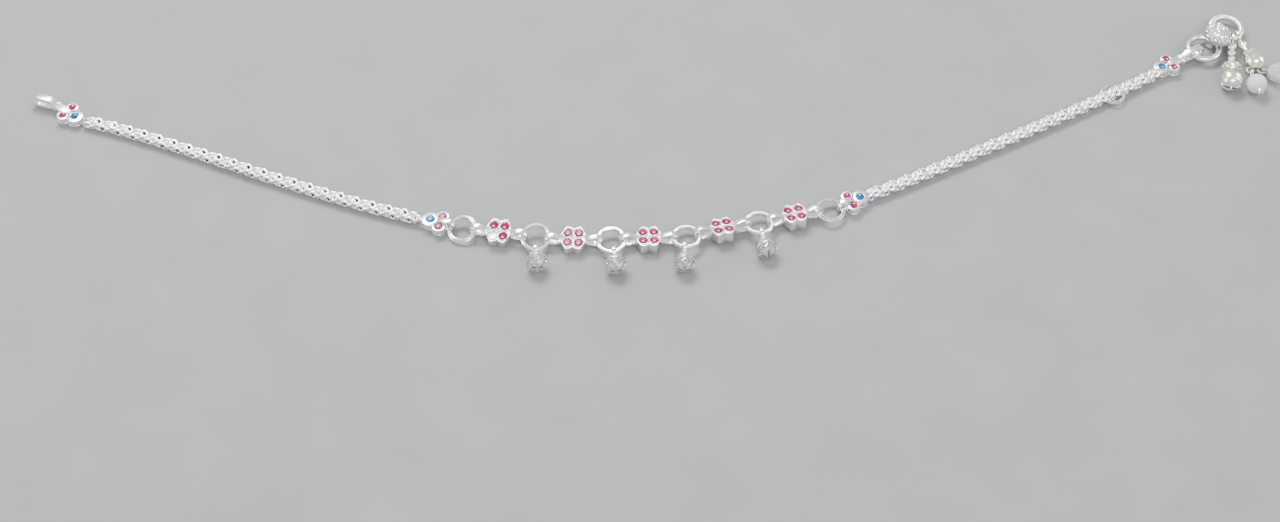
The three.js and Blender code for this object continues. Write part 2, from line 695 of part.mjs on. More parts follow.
// Closing ring, the textured link beyond it and the tassel ring, all nearly flat
const closingReach = NECK_END + CLOSING.at + CLOSING_RING.radius;
const closing = along(endTrefoil, closingReach, END_TREFOIL_TURN, CLOSING.height);
anklet.add(placed(closing, 0, [piece("closing_ring", wireRing(CLOSING_RING, 16), SILVER)]));

const wireStep = CLOSING_RING.wire + WIRE_PLAY + TASSEL_RING.wire;
const ringStep = CLOSING_RING.radius + wireStep + TASSEL_RING.radius;
const tassel = along(closing, ringStep, CLOSING.tassel, TASSEL_HEIGHT);
anklet.add(placed(tassel, 0, [piece("tassel_ring", wireRing(TASSEL_RING, 16), SILVER)]));

function texturedLink() {
  const { strip, width, root, corner, innerCorner, play } = TEXTURED_LINK;
  const half = {
    x: wireStep / 2 + TASSEL_RING.wire + WIRE_PLAY + play,
    z: TASSEL_RING.wire + WIRE_PLAY,
  };
  const rounded = (x, z, cut) => [
    [x, cut - z], [x, z - cut], [x - cut, z], [cut - x, z],
    [-x, z - cut], [-x, cut - z], [cut - x, -z], [x - cut, -z],
  ].map(([a, b]) => new THREE.Vector2(a, b + root + strip + half.z));
  const shape = new THREE.Shape(rounded(half.x + strip, half.z + strip, corner));
  shape.holes.push(new THREE.Path(rounded(half.x, half.z, innerCorner)));
  const top = root + strip + 2 * half.z;
  const dome = turned(outlineOf(DOME_OUTLINE, 1, 1), 16).rotateX(Math.PI / 2)
    .scale(DOME.length / 2, DOME.width / 2, DOME.height)
    .rotateZ(toRadians(DOME.turn))
    .translate(0, -DOME.offset, top + strip / 2);
  return joined([upright(shape, width), dome]);
}

const linkPlace = along(closing, CLOSING_RING.radius + wireStep / 2, CLOSING.tassel, 0);
const link = piece("textured_link", geometryOf(texturedLink()), SILVER);
anklet.add(placed(linkPlace, CLOSING.tassel, [link]));

// What hangs from the tassel ring lies on the ground beyond it
function pitchTo(eye, radius, length) {
  return THREE.MathUtils.radToDeg(Math.asin((eye.z - radius) / length));
}

function hung(name, body, { at, turn, length, radius }) {
  const eye = along(along(tassel, TASSEL_RING.radius, at), WIRE_PLAY / 2, turn);
  const pitch = pitchTo(eye, radius, length);
  const group = placed(eye, turn, [piece(name, geometryOf(body), SILVER)], { pitch });
  anklet.add(group);
  group.updateMatrixWorld(true);
  return group;
}

hung("crown_bell", crownBell(), CROWN_BELL);
const roundGroup = hung("round_bell", roundBell(), ROUND_BELL);

function onEar(name, body, { ear, turn, radius }, centre) {
  const eye = along(roundGroup.localToWorld(earPlace(ear)), EAR.radius, turn);
  const drop = piece(name, geometryOf(body), GLASS);
  anklet.add(placed(eye, turn, [drop], { pitch: pitchTo(eye, radius, centre) }));
}
onEar("frosted_ball", glassBall(), GLASS_BALL, GLASS_BALL.radius + GLASS_BALL.neck + SMALL_EYE.radius);
onEar("ribbed_bead", ribbedBead(), RIBBED_BEAD, RIBBED_BEAD.length / 2 + SMALL_EYE.radius);

// The origin is the middle of the whole anklet's box, on the surface it lies on
anklet.updateMatrixWorld(true);
const box = new THREE.Box3().setFromObject(anklet, true);
const centre = box.getCenter(new THREE.Vector3());
anklet.position.set(-centre.x, -centre.y, -box.min.z);

export default anklet;
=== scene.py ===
"""Silver payal anklet: woven chains, flower links with stones, small bells, hook and tassel."""
import math
import random

import bpy
import numpy as np
from mathutils import Matrix, Vector


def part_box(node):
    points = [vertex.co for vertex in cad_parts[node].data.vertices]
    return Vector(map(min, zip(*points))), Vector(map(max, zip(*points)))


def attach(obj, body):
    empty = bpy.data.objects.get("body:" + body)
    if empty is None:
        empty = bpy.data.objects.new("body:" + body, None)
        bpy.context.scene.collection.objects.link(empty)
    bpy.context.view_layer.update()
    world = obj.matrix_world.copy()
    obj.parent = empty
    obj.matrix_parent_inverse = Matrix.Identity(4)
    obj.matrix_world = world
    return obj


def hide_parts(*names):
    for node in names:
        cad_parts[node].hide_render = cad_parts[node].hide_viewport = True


bl_info = {
    "name": "Payal anklet",
    "version": (1, 0, 0),
    "blender": (4, 5, 0),
    "location": "View3D > Sidebar > Payal",
    "description": "Dresses the anklet's frame with woven chain, settings, bells and stones",
    "category": "Object",
}

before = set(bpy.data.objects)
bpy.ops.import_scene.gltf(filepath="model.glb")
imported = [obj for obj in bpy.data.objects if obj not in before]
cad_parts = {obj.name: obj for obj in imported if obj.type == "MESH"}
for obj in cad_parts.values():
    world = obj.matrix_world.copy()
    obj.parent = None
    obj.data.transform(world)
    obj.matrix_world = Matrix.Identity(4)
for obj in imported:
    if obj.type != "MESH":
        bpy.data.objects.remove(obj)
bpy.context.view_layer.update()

# Sizes are in millimetres and turns in degrees, apart from those of the floor and the lights
MM = 0.001

# Woven chain: step of its pattern, height, share of a step left free at each end, how far a link
# may turn by chance, and the radius and inset of its dark core, a rod of painted shade for the
# holes
PITCH = 3.6
CHAIN_HIGH = 2.4
CHAIN_END = 0.25
CHAIN_SWAY = 5
CORE_SHARE = 0.62
CORE_INSET = 0.35

# Kinds of chain link: radius, wire as a share of the chain's wire, stretch along the chain, lean
ROUND_LINK = {"radius": 0.74, "wire": 0.9, "stretch": 1.12, "lean": 8}
LONG_LINK = {"radius": 0.52, "wire": 1.08, "stretch": 1.75, "lean": -14}

# Links of one step: turn about the chain, place along the step, kind
WEAVE = (
    (0, 0.0, ROUND_LINK), (90, 0.36, ROUND_LINK), (180, 0.5, ROUND_LINK), (270, 0.86, ROUND_LINK),
    (38, 0.68, LONG_LINK), (128, 0.93, LONG_LINK), (218, 0.18, LONG_LINK), (308, 0.43, LONG_LINK),
)

# Settings: depth of a stone's girdle below the face, width of the rim, and the rim's insets as
# width and rise
STONE_SINK = 0.1
RIM_WIDTH = 0.14
RIM_INSETS = ((0.08, 0.1), (0.06, -0.04), (0.2, -0.55))

# Cut stone: number of sides, and radius and height of its rows as shares of its radius
STONE_SIDES = 16
STONE_PROFILE = (
    (0, 0.31), (0.56, 0.31), (0.84, 0.17), (1.0, 0.05), (1.0, -0.05), (0.5, -0.48), (0, -0.86),
)

# Part of the table that catches the light: its turn and half its spread
SPARK_TURN = 250
SPARK_HALF = 35

# Flower link: the stones' places, its face's height, and its outline
SEAT = 1.14
FLOWER_SEATS = ((-SEAT, SEAT), (SEAT, SEAT), (-SEAT, -SEAT), (SEAT, -SEAT))
FLOWER_FACE = 2.3
FLOWER_STONE = 0.95
FLOWER_COLLET = 1.13
STONE_MIDDLE = 0.35
FLOWER_HALF = 2.75
FLOWER_NOTCH = 2.2
FLOWER_RIM = 0.26
FLOWER_RECESS = 0.3
PETAL_TIP = 1.5
PETAL_SHOULDER = (2.56, 1.24)

# Trefoil: its face's height, then place, radius and stone of the blue lobe and the two pink ones
TREFOIL_FACE = 2.2
BLUE_X = -0.9
PINK_X = 1.35
PINK_Y = 1.36
LOBES = (
    (BLUE_X, 0.0, 1.8, 0.9),
    (PINK_X, PINK_Y, 1.35, 0.85),
    (PINK_X, -PINK_Y, 1.35, 0.85),
)

# Strip loops that hold the rings: thickness, height of the middle, radius, reach past the neck,
# and length of the neck on a flower; start and neck on a trefoil
STRIP_THICK = 0.42
BAIL_AXIS = 1.5
BAIL_RADIUS = 1.28
BAIL_REACH = 1.5
FLOWER_NECK = 0.45
TREFOIL_BAIL = (0.9, 0.75)

# Neck of the two outer trefoils, and the strip bent on at its end: thickness, bend, then for the
# hook and the strap where the tip lies, widths at neck and tip, turn and roll
NECK_END = 4.925
NECK_AXIS = 1.5
BENT_THICK = 0.56
BEND_CENTRE = (4.1, 0.2)
BEND_RADIUS = 1.2
HOOK = {"tip": 0.9, "widths": (1.75, 1.25), "turn": 20, "roll": 5}
STRAP = {"tip": 0.5, "widths": (1.5, 1.5), "turn": 0, "roll": 0}

# Rings: middle radius and half the wire
BELL_RING = (2.8, 0.47)
CLOSING_RING = (3.35, 0.67)
TASSEL_RING = (3.35, 0.75)

# Rings of two turns: middle radius, and how far each turn lies off it outwards and upwards
JUMP_RING = (2.75, 0.16, 0.19)
ADJUSTING_RING = (2.5, 0.1, 0.16)
ADJUSTING_WIRE = 0.19

# What lies on its side: turn of its axis, reach of its eye, and its body's radius and distance
SMALL_BELL = {"eye": 1.28, "radius": 2.35, "length": 3.872}
LYING = {
    "bell_1": {"turn": -84, **SMALL_BELL},
    "bell_2": {"turn": -85, **SMALL_BELL},
    "bell_3": {"turn": -91, **SMALL_BELL},
    "bell_4": {"turn": -78, **SMALL_BELL},
    "crown_bell": {"turn": -101.5, "eye": 1.78, "radius": 2.4, "length": 13.1},
    "round_bell": {"turn": -72, "eye": 1.78, "radius": 2.4, "length": 8.0},
    "frosted_ball": {"turn": -80, "eye": 0.71, "radius": 2.2, "length": 3.35},
    "ribbed_bead": {"turn": -8, "eye": 0.71, "radius": 2.15, "length": 2.95},
}

# Small bell: radius and height from its top to its foot, with zero at the flange
BELL_PROFILE = (
    (0, 2.77), (0.4, 2.77), (0.46, 2.5), (0.5, 2.25), (0.9, 1.98), (1.5, 1.55), (1.9, 1.02),
    (2.1, 0.55), (2.17, 0.3), (2.18, 0.24), (2.34, 0.18), (2.35, 0.07), (2.2, 0.03), (2.2, -0.03),
    (2.35, -0.07), (2.33, -0.18), (2.15, -0.24), (2.1, -0.36), (2.05, -0.62), (1.92, -0.98),
    (1.82, -1.14), (1.87, -1.2), (1.8, -1.3), (1.66, -1.33), (1.42, -1.6), (1.05, -1.9),
    (0.55, -2.1), (0, -2.17),
)

# Top of its fluted foot, depth of the flutes as a share of the radius, and two counts
BELL_FOOT = -1.25
FLUTE_DEPTH = 0.1
BELL_FLUTES = 8
BELL_SCROLLS = 12

# Beads above the crown bell: rows of a bead of radius 1
BEAD_PROFILE = (
    (0, 1), (0.5, 0.85), (0.86, 0.5), (1.0, 0.12), (1.08, 0), (1.0, -0.12), (0.86, -0.5),
    (0.5, -0.85), (0, -1),
)

# From the crown's middle to its bell's middle, and the eyes of bells and beads: radius and wire
CROWN_REACH = 4.03
EYE = (1.52, 0.26)
PIN_EYE = (0.55, 0.16)

# Small rings at the sides of the round bell: turns about the body, reach and drop
EARS = (-48, 4)
EAR_REACH = 2.8
EAR_DROP = -0.4

# Textured link: turn and place from the closing ring, half length and half height of its loop,
# radius of the loop's corners, height of its middle
TASSEL_TURN = 45
LINK_OFFSET = 4.24
LINK_HALF = (2.28, 1.27)
LINK_CORNER = 0.6
LINK_AXIS = 1.65

# Its domed plate: half sizes, turn and place, and rows of a dome of radius 1
DOME_HALF = (3.4, 2.75, 1.7)
DOME_TURN = 59
DOME_AT = (0, -0.5, 2.87)
DOME_PROFILE = (
    (0, 1.0), (0.2, 0.99), (0.4, 0.95), (0.6, 0.86), (0.78, 0.7), (0.92, 0.45), (0.99, 0.2),
    (1.0, 0.05), (0.96, 0.0), (0, 0.0),
)

# Grains on it: how many, how far out they lie, and the turn from one to the next in radians
GRAINS = 110
GRAIN_SPREAD = 0.93
GOLDEN_ANGLE = 2.39996

# Ribbed bead: half its length, number and depth of its ribs, and its rows as shares of its
# radius and half length
BEAD_HALF = 2.4
BEAD_RIBS = 10
RIB_DEPTH = 0.13
RIBBED_PROFILE = (
    (0.28, 1), (0.42, 0.97), (0.62, 0.82), (0.82, 0.58), (0.94, 0.3), (1, 0), (0.94, -0.3),
    (0.82, -0.58), (0.62, -0.82), (0.42, -0.97), (0.28, -1),
)

# Camera, measured from the middle flower
MIDDLE_FLOWER = 3
CAMERA_OFFSET = (-1.8, -250.9, 327.2)
TARGET_OFFSET = (-1.8, -4.3, 0.0)
LENS = 56.25

# Soft lights, all aimed at the middle: place and size in metres, power and colour
WHITE = (1, 1, 1)
LIGHTS = (
    ("key light", (-0.12, 0.3, 0.5), (0.4, 0.2), 8.0, (1.0, 0.99, 0.97)),
    ("front light", (0.15, -0.45, 0.55), (0.45, 0.16), 4.0, WHITE),
    ("left light", (-0.6, -0.1, 0.25), (0.15, 0.4), 2.0, (0.95, 0.97, 1.0)),
    ("right light", (0.6, 0.0, 0.3), (0.15, 0.4), 2.0, WHITE),
)
WORLD_STRENGTH = 0.95

# Floor: width in metres and its two shades
FLOOR_WIDE = 3
FLOOR_DARK = (0.19, 0.194, 0.2)
FLOOR_LIGHT = (0.215, 0.219, 0.226)


# ---- places read from the frame

def points_of(node):
    """The node's corners in millimetres, each once."""
    corners = np.array([v.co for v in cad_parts[node].data.vertices], float) / MM
    return np.unique(np.round(corners, 4), axis=0)


def middle_of(node):
    low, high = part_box(node)
    return (low + high) / (2 * MM)


def matrix_of(origin, x_axis, y_axis):
    x_axis = x_axis.normalized()
    z_axis = x_axis.cross(y_axis).normalized()
    y_axis = z_axis.cross(x_axis)
    turn = Matrix((x_axis, y_axis, z_axis)).transposed().to_4x4()
    return Matrix.Translation(origin) @ turn


def flower_frame(number):
    """Place of a flower link, from the stones set in it."""
    stones = {}
    for i in range(len(FLOWER_SEATS)):
        name = f"flower_{number}_stone_{i + 1}"
        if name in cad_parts:
            stones[i] = middle_of(name)
    x_axis = stones[1] - stones[0]
    y_axis = stones[1] - stones[3]
    turn = matrix_of(Vector(), x_axis, y_axis).to_3x3()
    middle = (stones[0] + stones[3]) / 2
    foot = middle - turn @ Vector((0, 0, FLOWER_FACE - STONE_MIDDLE))
    return Matrix.Translation(foot) @ turn.to_4x4()


def trefoil_frame(name):
    """Place of a trefoil, from its three stones."""
    blue, left, right = (middle_of(f"{name}_stone_{i}") for i in (1, 2, 3))
    x_axis = (left + right) / 2 - blue
    x_axis.z = 0
    y_axis = left - right
    y_axis.z = 0
    place = matrix_of(Vector((blue.x, blue.y, 0)), x_axis, y_axis)
    return place @ Matrix.Translation((-BLUE_X, 0, 0))


def ring_frame(node):
    """Place of a ring, with its axis along Z."""
    corners = points_of(node)
    centre = corners.mean(axis=0)
    axes = np.linalg.svd(corners - centre)[2]
    normal = Vector(axes[2])
    if normal.z < 0:
        normal.negate()
    across = Vector((0, 1, 0)).cross(normal)
    return matrix_of(Vector(centre), across, normal.cross(across))


def lying_frame(node):
    """Place of a bell or drop: its eye's middle at the origin and its body towards +X."""
    row = LYING[node]
    corners = points_of(node)
    turn = math.radians(row["turn"])
    level = Vector((math.cos(turn), math.sin(turn), 0))
    side = Vector((-math.sin(turn), math.cos(turn), 0))
    pitch = 0.0
    for _ in range(2):
        ahead = level * math.cos(pitch) - Vector((0, 0, math.sin(pitch)))
        up = ahead.cross(side)
        spread = corners @ np.array(ahead)
        reach = spread.min() + row["eye"]
        near = corners[spread < reach]
        across, height = near @ np.array(side), near @ np.array(up)
        origin = ahead * reach
        origin += side * (across.max() + across.min()) / 2 + up * (height.max() + height.min()) / 2
        pitch = math.asin(max(-1, min(1, (origin.z - row["radius"]) / row["length"])))
    return matrix_of(origin, ahead, side)


# ---- modelling helpers, all in millimetres

def clear():
    bpy.ops.object.select_all(action="DESELECT")


def alone(obj):
    clear()
    obj.select_set(True)
    bpy.context.view_layer.objects.active = obj


def edit(obj):
    alone(obj)
    bpy.ops.object.mode_set(mode="EDIT")


def leave_edit():
    bpy.ops.object.mode_set(mode="OBJECT")


def settled(obj, place=None):
    """Moves the object's own place, and then a further one, into its mesh."""
    obj.data.transform(obj.matrix_basis)
    obj.matrix_basis = Matrix.Identity(4)
    if place is not None:
        obj.data.transform(place)
    return obj


def with_modifier(obj, kind, **settings):
    alone(obj)
    modifier = obj.modifiers.new(kind.title(), kind)
    for key, value in settings.items():
        setattr(modifier, key, value)
    bpy.ops.object.modifier_apply(modifier=modifier.name)
    return obj


def softened(obj, width, above=40):
    """Rounds the edges that are sharper than an angle."""
    angle = math.radians(above)
    return with_modifier(
        obj, "BEVEL", width=width, segments=2, limit_method="ANGLE", angle_limit=angle
    )


def joined(parts):
    clear()
    for part in parts:
        part.select_set(True)
    bpy.context.view_layer.objects.active = parts[0]
    bpy.ops.object.join()
    return settled(bpy.context.object)


def copy_of(obj, place):
    twin = obj.copy()
    twin.data = obj.data.copy()
    twin.data.transform(place)
    bpy.context.collection.objects.link(twin)
    return twin


def removed(obj):
    bpy.data.objects.remove(obj, do_unlink=True)


def with_painted_shade(obj, amount, chosen=None):
    """Writes painted shade, how dark the silver is drawn, on each face or on those that a test
    picks.
    """
    layers = obj.data.attributes
    shade = layers.get("tarnish") or layers.new("tarnish", "FLOAT", "FACE")
    for face in obj.data.polygons:
        if chosen is None or chosen(face.center):
            shade.data[face.index].value = amount
    return obj


def edit_faces(obj, chosen):
    """Enters edit mode with the faces that a test picks selected."""
    for part in (*obj.data.polygons, *obj.data.edges, *obj.data.vertices):
        part.select = False
    for polygon in obj.data.polygons:
        polygon.select = bool(chosen(polygon))
    edit(obj)
    bpy.ops.mesh.select_mode(type="FACE")


def ring(radius, wire, around=48, sides=10, place=None):
    clear()
    bpy.ops.mesh.primitive_torus_add(
        major_radius=radius, minor_radius=wire, major_segments=around, minor_segments=sides
    )
    return settled(bpy.context.object, place)


def ball(radius, at, detail=2):
    clear()
    bpy.ops.mesh.primitive_ico_sphere_add(subdivisions=detail, radius=radius, location=at)
    return settled(bpy.context.object)


def scaled(profile, size):
    return [(radius * size, height * size) for radius, height in profile]


def turned(profile, steps=32):
    """A turned body about Z: a sphere's rows are moved to (radius, height), top row first."""
    rows = len(profile) - 1
    clear()
    bpy.ops.mesh.primitive_uv_sphere_add(segments=steps, ring_count=rows, radius=1)
    obj = settled(bpy.context.object)
    for vertex in obj.data.vertices:
        row = round(math.acos(max(-1, min(1, vertex.co.z))) / math.pi * rows)
        radius, height = profile[row]
        angle = math.atan2(vertex.co.y, vertex.co.x)
        vertex.co = (radius * math.cos(angle), radius * math.sin(angle), height)
    return obj


LIE = Matrix.Rotation(math.radians(90), 4, "Y")
STAND = Matrix.Rotation(math.radians(90), 4, "X")


def along_x(obj, at=0.0):
    """Lays a turned body on its side: its foot, which was down, points to +X."""
    return settled(obj, Matrix.Translation((at, 0, 0)) @ LIE @ Matrix.Rotation(math.pi, 4, "X"))


def strip(path, width, thickness, soften=0.1):
    """A flat strip along (x, z) points, extruded one step at a time."""
    clear()
    bpy.ops.mesh.primitive_plane_add(size=1)
    obj = settled(bpy.context.object)
    first, second = path[0], path[1]
    for vertex in obj.data.vertices:
        x, z = first if vertex.co.x < 0 else second
        vertex.co = (x, math.copysign(width / 2, vertex.co.y), z)

    def on_end(at, end):
        return abs(at.x - end[0]) < 1e-4 and abs(at.z - end[1]) < 1e-4

    for before, after in zip(path[1:], path[2:]):
        edit(obj)
        bpy.ops.mesh.select_mode(type="EDGE")
        bpy.ops.mesh.select_all(action="DESELECT")
        leave_edit()
        for edge in obj.data.edges:
            edge.select = all(on_end(obj.data.vertices[i].co, before) for i in edge.vertices)
        edit(obj)
        step = (after[0] - before[0], 0, after[1] - before[1])
        bpy.ops.mesh.extrude_region_move(TRANSFORM_OT_translate={"value": step})
        leave_edit()
    with_modifier(obj, "SOLIDIFY", thickness=thickness, offset=0.0, use_even_offset=True)
    return softened(obj, soften, 50)


def arc_points(centre, radius, start, end, steps):
    angles = [math.radians(start + (end - start) * i / steps) for i in range(steps + 1)]
    return [(centre[0] + radius * math.cos(a), centre[1] + radius * math.sin(a)) for a in angles]


def finished(obj, name, place, node, slot_name, material, angle=35):
    """Puts a piece in its place in metres, gives it its name and material, hangs it on the root and
    hides the node it stands for; the slot's name is not used.
    """
    settled(obj, Matrix.Scale(MM, 4) @ place)
    obj.name = name
    obj.data.name = obj.name
    alone(obj)
    bpy.ops.object.shade_smooth_by_angle(angle=math.radians(angle))
    obj.data.materials.clear()
    obj.data.materials.append(material)
    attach(obj, "root")
    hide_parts(node)
    return obj


# ---- materials

class Value:
    """A shader socket that Python's operators can work with."""

    def __init__(self, maker, socket):
        self.maker = maker
        self.socket = socket

    def _math(self, operation, *values):
        return self.maker.node("ShaderNodeMath", {"operation": operation}, list(values))

    def __add__(self, other):
        return self._math("ADD", self, other)

    def __mul__(self, other):
        return self._math("MULTIPLY", self, other)

    def __rsub__(self, other):
        return self._math("SUBTRACT", other, self)


class Maker:
    """Builds one material's nodes."""

    def __init__(self, name):
        self.material = bpy.data.materials.new(name)
        self.material.use_nodes = True
        self.tree = self.material.node_tree
        self.shader = self.tree.nodes["Principled BSDF"]

    def node(self, kind, settings=None, values=(), output=0):
        made = self.tree.nodes.new(kind)
        for key, value in (settings or {}).items():
            if key == "stops":
                ramp = made.color_ramp
                while len(ramp.elements) < len(value):
                    ramp.elements.new(0.5)
                for element, (position, colour) in zip(ramp.elements, value):
                    element.position = position
                    element.color = (*colour, 1)
            else:
                setattr(made, key, value)
        pairs = values.items() if isinstance(values, dict) else enumerate(values)
        for key, value in pairs:
            self.feed(made.inputs[key], value)
        return Value(self, made.outputs[output])

    def feed(self, socket, value):
        if isinstance(value, Value):
            self.tree.links.new(value.socket, socket)
        else:
            socket.default_value = value

    def shade(self, **values):
        for key, value in values.items():
            self.feed(self.shader.inputs[key.replace("_", " ")], value)
        return self.material

    def hold(self, **values):
        """Sets the shader's constants."""
        for key, value in values.items():
            self.shader.inputs[key.replace("_", " ")].default_value = value

    def noise(self, scale, detail=3.0):
        where = self.node("ShaderNodeTexCoord", output="Object")
        values = {"Vector": where, "Scale": scale, "Detail": detail, "Roughness": 0.5}
        return self.node("ShaderNodeTexNoise", {}, values)

    def written(self, name):
        """A number that the mesh carries on its faces."""
        return self.node("ShaderNodeAttribute", {"attribute_name": name}, output="Fac")

    def ramp(self, value, stops):
        return self.node("ShaderNodeValToRGB", {"stops": stops}, {"Fac": value})

    def mix(self, share, first, second):
        """Mixes two colours, whose sockets on this node are found by number."""
        values = {0: share, 6: first, 7: second}
        return self.node("ShaderNodeMix", {"data_type": "RGBA"}, values, 2)

    def bump(self, height, strength, distance):
        values = {"Strength": strength, "Distance": distance, "Height": height}
        return self.node("ShaderNodeBump", {}, values)


# Near-black colour of the painted shade that the mesh writes on its faces
PAINTED_SHADE = (0.035, 0.035, 0.04, 1)


def silver(name, colour, dark, low, high, grain=900.0):
    """Bright silver with faint clouds, uneven polish and fine marks, and painted shade, near black
    and dull, where the mesh writes it: in hollows, grooves and the chain's core.
    """
    maker = Maker(name)
    clouds = maker.noise(grain)
    marks = maker.noise(6 * grain, 2.0)
    painted_shade_share = maker.written("tarnish")
    tint = maker.mix(painted_shade_share, maker.ramp(clouds, [(0.3, dark), (0.62, colour)]), PAINTED_SHADE)
    polish = clouds * (high - low) + marks * 0.06 + painted_shade_share * 0.25 + low
    return maker.shade(
        Base_Color=tint,
        Metallic=1.0 - painted_shade_share * 0.6,
        Roughness=polish,
        Normal=maker.bump(marks, 0.25, 0.00004),
    )


def gem(name, deep, middle, light):
    """A cut stone: each facet is drawn paler or deeper by the painted light that the mesh carries.
    """
    maker = Maker(name)
    facet = maker.written("facet")
    clouds = maker.noise(1400.0, 2.0)
    # How pale each facet is drawn: the painted highlights and glints, with faint clouds
    depth = facet * 0.9 + clouds * 0.16
    tint = maker.ramp(depth, [(0.08, deep), (0.5, middle), (0.98, light)])
    maker.hold(Specular_IOR_Level=0.2, Coat_Roughness=0.05, Coat_Weight=0.08)
    return maker.shade(Base_Color=tint, Roughness=clouds * 0.1 + 0.08)


def bead_glass(name, colour, pale, roughness, clear_share):
    """Glass of a bead, with faint clouds and fine marks."""
    maker = Maker(name)
    clouds = maker.noise(500.0, 4.0)
    marks = maker.noise(5200.0, 2.0)
    maker.hold(Transmission_Weight=clear_share, IOR=1.45)
    return maker.shade(
        Base_Color=maker.ramp(clouds, [(0.3, colour), (0.7, pale)]),
        Roughness=clouds * 0.12 + roughness,
        Normal=maker.bump(marks, 0.2, 0.00003),
    )


# ---- pieces

def chain_route(node):
    """A chain's number of steps, and a way to find points and headings along its bar."""
    corners = points_of(node)
    low, high = corners[:, 0].min(), corners[:, 0].max()
    middle = (low + high) / 2
    curve = np.polynomial.Polynomial.fit(corners[:, 0] - middle, corners[:, 1], 6)
    xs = np.linspace(low - middle, high - middle, 1200)
    ys = curve(xs)
    lengths = np.concatenate([[0], np.cumsum(np.hypot(np.diff(xs), np.diff(ys)))])
    links = round(lengths[-1] / PITCH)
    margin = (lengths[-1] - links * PITCH) / 2

    def at(distance):
        x = np.interp(margin + distance, lengths, xs)
        slope = curve.deriv()(x)
        return Vector((x + middle, float(curve(x)), 0)), math.atan(slope)

    return links, at


def woven_chain(node, sizes):
    """The links of a woven chain round a dark core of painted shade."""
    half = CHAIN_HIGH / 2
    bases = []
    for facing, _, kind in WEAVE:
        wire = kind["wire"] * sizes.chain_wire / 2
        stretch = Matrix.Diagonal((kind["stretch"], 1, 1, 1))
        lean = Matrix.Rotation(math.radians(kind["lean"]), 4, "Y")
        base = ring(kind["radius"], wire, 12, 6, lean @ stretch)
        outwards = Matrix.Translation((0, 0, half - wire))
        bases.append(settled(base, Matrix.Rotation(math.radians(facing), 4, "X") @ outwards))
    links, at = chain_route(node)
    rng = random.Random(7)
    copies = []
    for i in range(links):
        for (_, phase, _), base in zip(WEAVE, bases):
            distance = (i + phase) * PITCH
            if not CHAIN_END * PITCH < distance < (links - CHAIN_END) * PITCH:
                continue
            point, turn = at(distance)
            chance = math.radians(rng.uniform(-CHAIN_SWAY, CHAIN_SWAY))
            sway = Matrix.Rotation(turn + chance, 4, "Z")
            chance = math.radians(rng.uniform(-CHAIN_SWAY, CHAIN_SWAY))
            roll = Matrix.Rotation(chance, 4, "X")
            place = Matrix.Translation((point.x, point.y, half)) @ sway @ roll
            copies.append(copy_of(base, place))
    for base in bases:
        removed(base)
    core = painted_shade_core(links, at, half)
    return joined([joined(copies), core])


def painted_shade_core(links, at, half):
    """Painted shade inside the weave: a dark rod extruded along the chain one step at a time."""
    clear()
    bpy.ops.mesh.primitive_circle_add(vertices=8, radius=CORE_SHARE * half, fill_type="NGON")
    core = settled(bpy.context.object)
    stations = [at((i + CORE_INSET * (1 - 2 * i / links)) * PITCH) for i in range(links + 1)]
    first, turn = stations[0]
    upright = Matrix.Rotation(turn, 4, "Z") @ LIE
    settled(core, Matrix.Translation((first.x, first.y, half)) @ upright)
    for (before, _), (after, _) in zip(stations, stations[1:]):
        edit(core)
        step = (after.x - before.x, after.y - before.y, 0)
        bpy.ops.mesh.extrude_region_move(TRANSFORM_OT_translate={"value": step})
        leave_edit()
    edit(core)
    bpy.ops.mesh.select_all(action="SELECT")
    bpy.ops.mesh.normals_make_consistent(inside=False)
    leave_edit()
    # The rod is written fully dark: painted shade seen through the holes
    return with_painted_shade(core, 1.0)


def bowed(start, pull, end, steps):
    """Points of a curve that is drawn towards a third point; its end is left out."""
    shares = [i / steps for i in range(steps)]
    return [start * (1 - t) ** 2 + pull * 2 * t * (1 - t) + end * t ** 2 for t in shares]


def flower_plate():
    """The flower's body: four petals with notches between them and a sunk face."""
    side, tip = Vector((FLOWER_HALF, 0)), Vector((PETAL_TIP, FLOWER_HALF))
    notch, throat = Vector((0, FLOWER_NOTCH)), Vector((PETAL_TIP / 3, FLOWER_HALF))
    quarter = bowed(side, Vector(PETAL_SHOULDER), tip, 7) + bowed(tip, throat, notch, 5)
    back = [notch, *quarter[:0:-1]]
    edge = []
    for points, across, along in ((quarter, 1, 1), (back, -1, 1), (quarter, -1, -1), (back, 1, -1)):
        edge += [(across * p.x, along * p.y) for p in points]
    clear()
    bpy.ops.mesh.primitive_circle_add(vertices=len(edge), radius=1, fill_type="NGON")
    obj = settled(bpy.context.object)

    def angle_of(vertex):
        return math.atan2(vertex.co.y, vertex.co.x)

    ranked = sorted(obj.data.vertices, key=lambda v: angle_of(v) % (2 * math.pi))
    start = min(range(len(ranked)), key=lambda i: abs(angle_of(ranked[i])))
    for vertex, (x, y) in zip(ranked[start:] + ranked[:start], edge):
        vertex.co = (x, y, 0)
    edit_faces(obj, lambda face: True)
    bpy.ops.mesh.extrude_region_move(TRANSFORM_OT_translate={"value": (0, 0, FLOWER_FACE)})
    bpy.ops.mesh.inset(thickness=FLOWER_RIM, depth=0.0)
    bpy.ops.mesh.inset(thickness=0.1, depth=-FLOWER_RECESS)
    leave_edit()
    softened(obj, 0.08)
    # Painted shade on the sunk face round the stones
    floor = FLOWER_FACE - FLOWER_RECESS
    return with_painted_shade(obj, 0.3, lambda at: abs(at.z - floor) < 0.1 and at.xy.length < 2.4)


def collet(radius, stone, height, x=0.0, y=0.0):
    """A round setting: a cup with a thin rim round the stone."""
    clear()
    bpy.ops.mesh.primitive_cylinder_add(
        vertices=32, radius=radius, depth=height, location=(x, y, height / 2)
    )
    obj = settled(bpy.context.object)
    edit_faces(obj, lambda face: face.normal.z > 0.9)
    bpy.ops.mesh.inset(thickness=max(0.05, radius - stone - RIM_WIDTH), depth=0.0)
    for width, rise in RIM_INSETS:
        bpy.ops.mesh.inset(thickness=width, depth=rise)
    leave_edit()
    return softened(obj, 0.07)


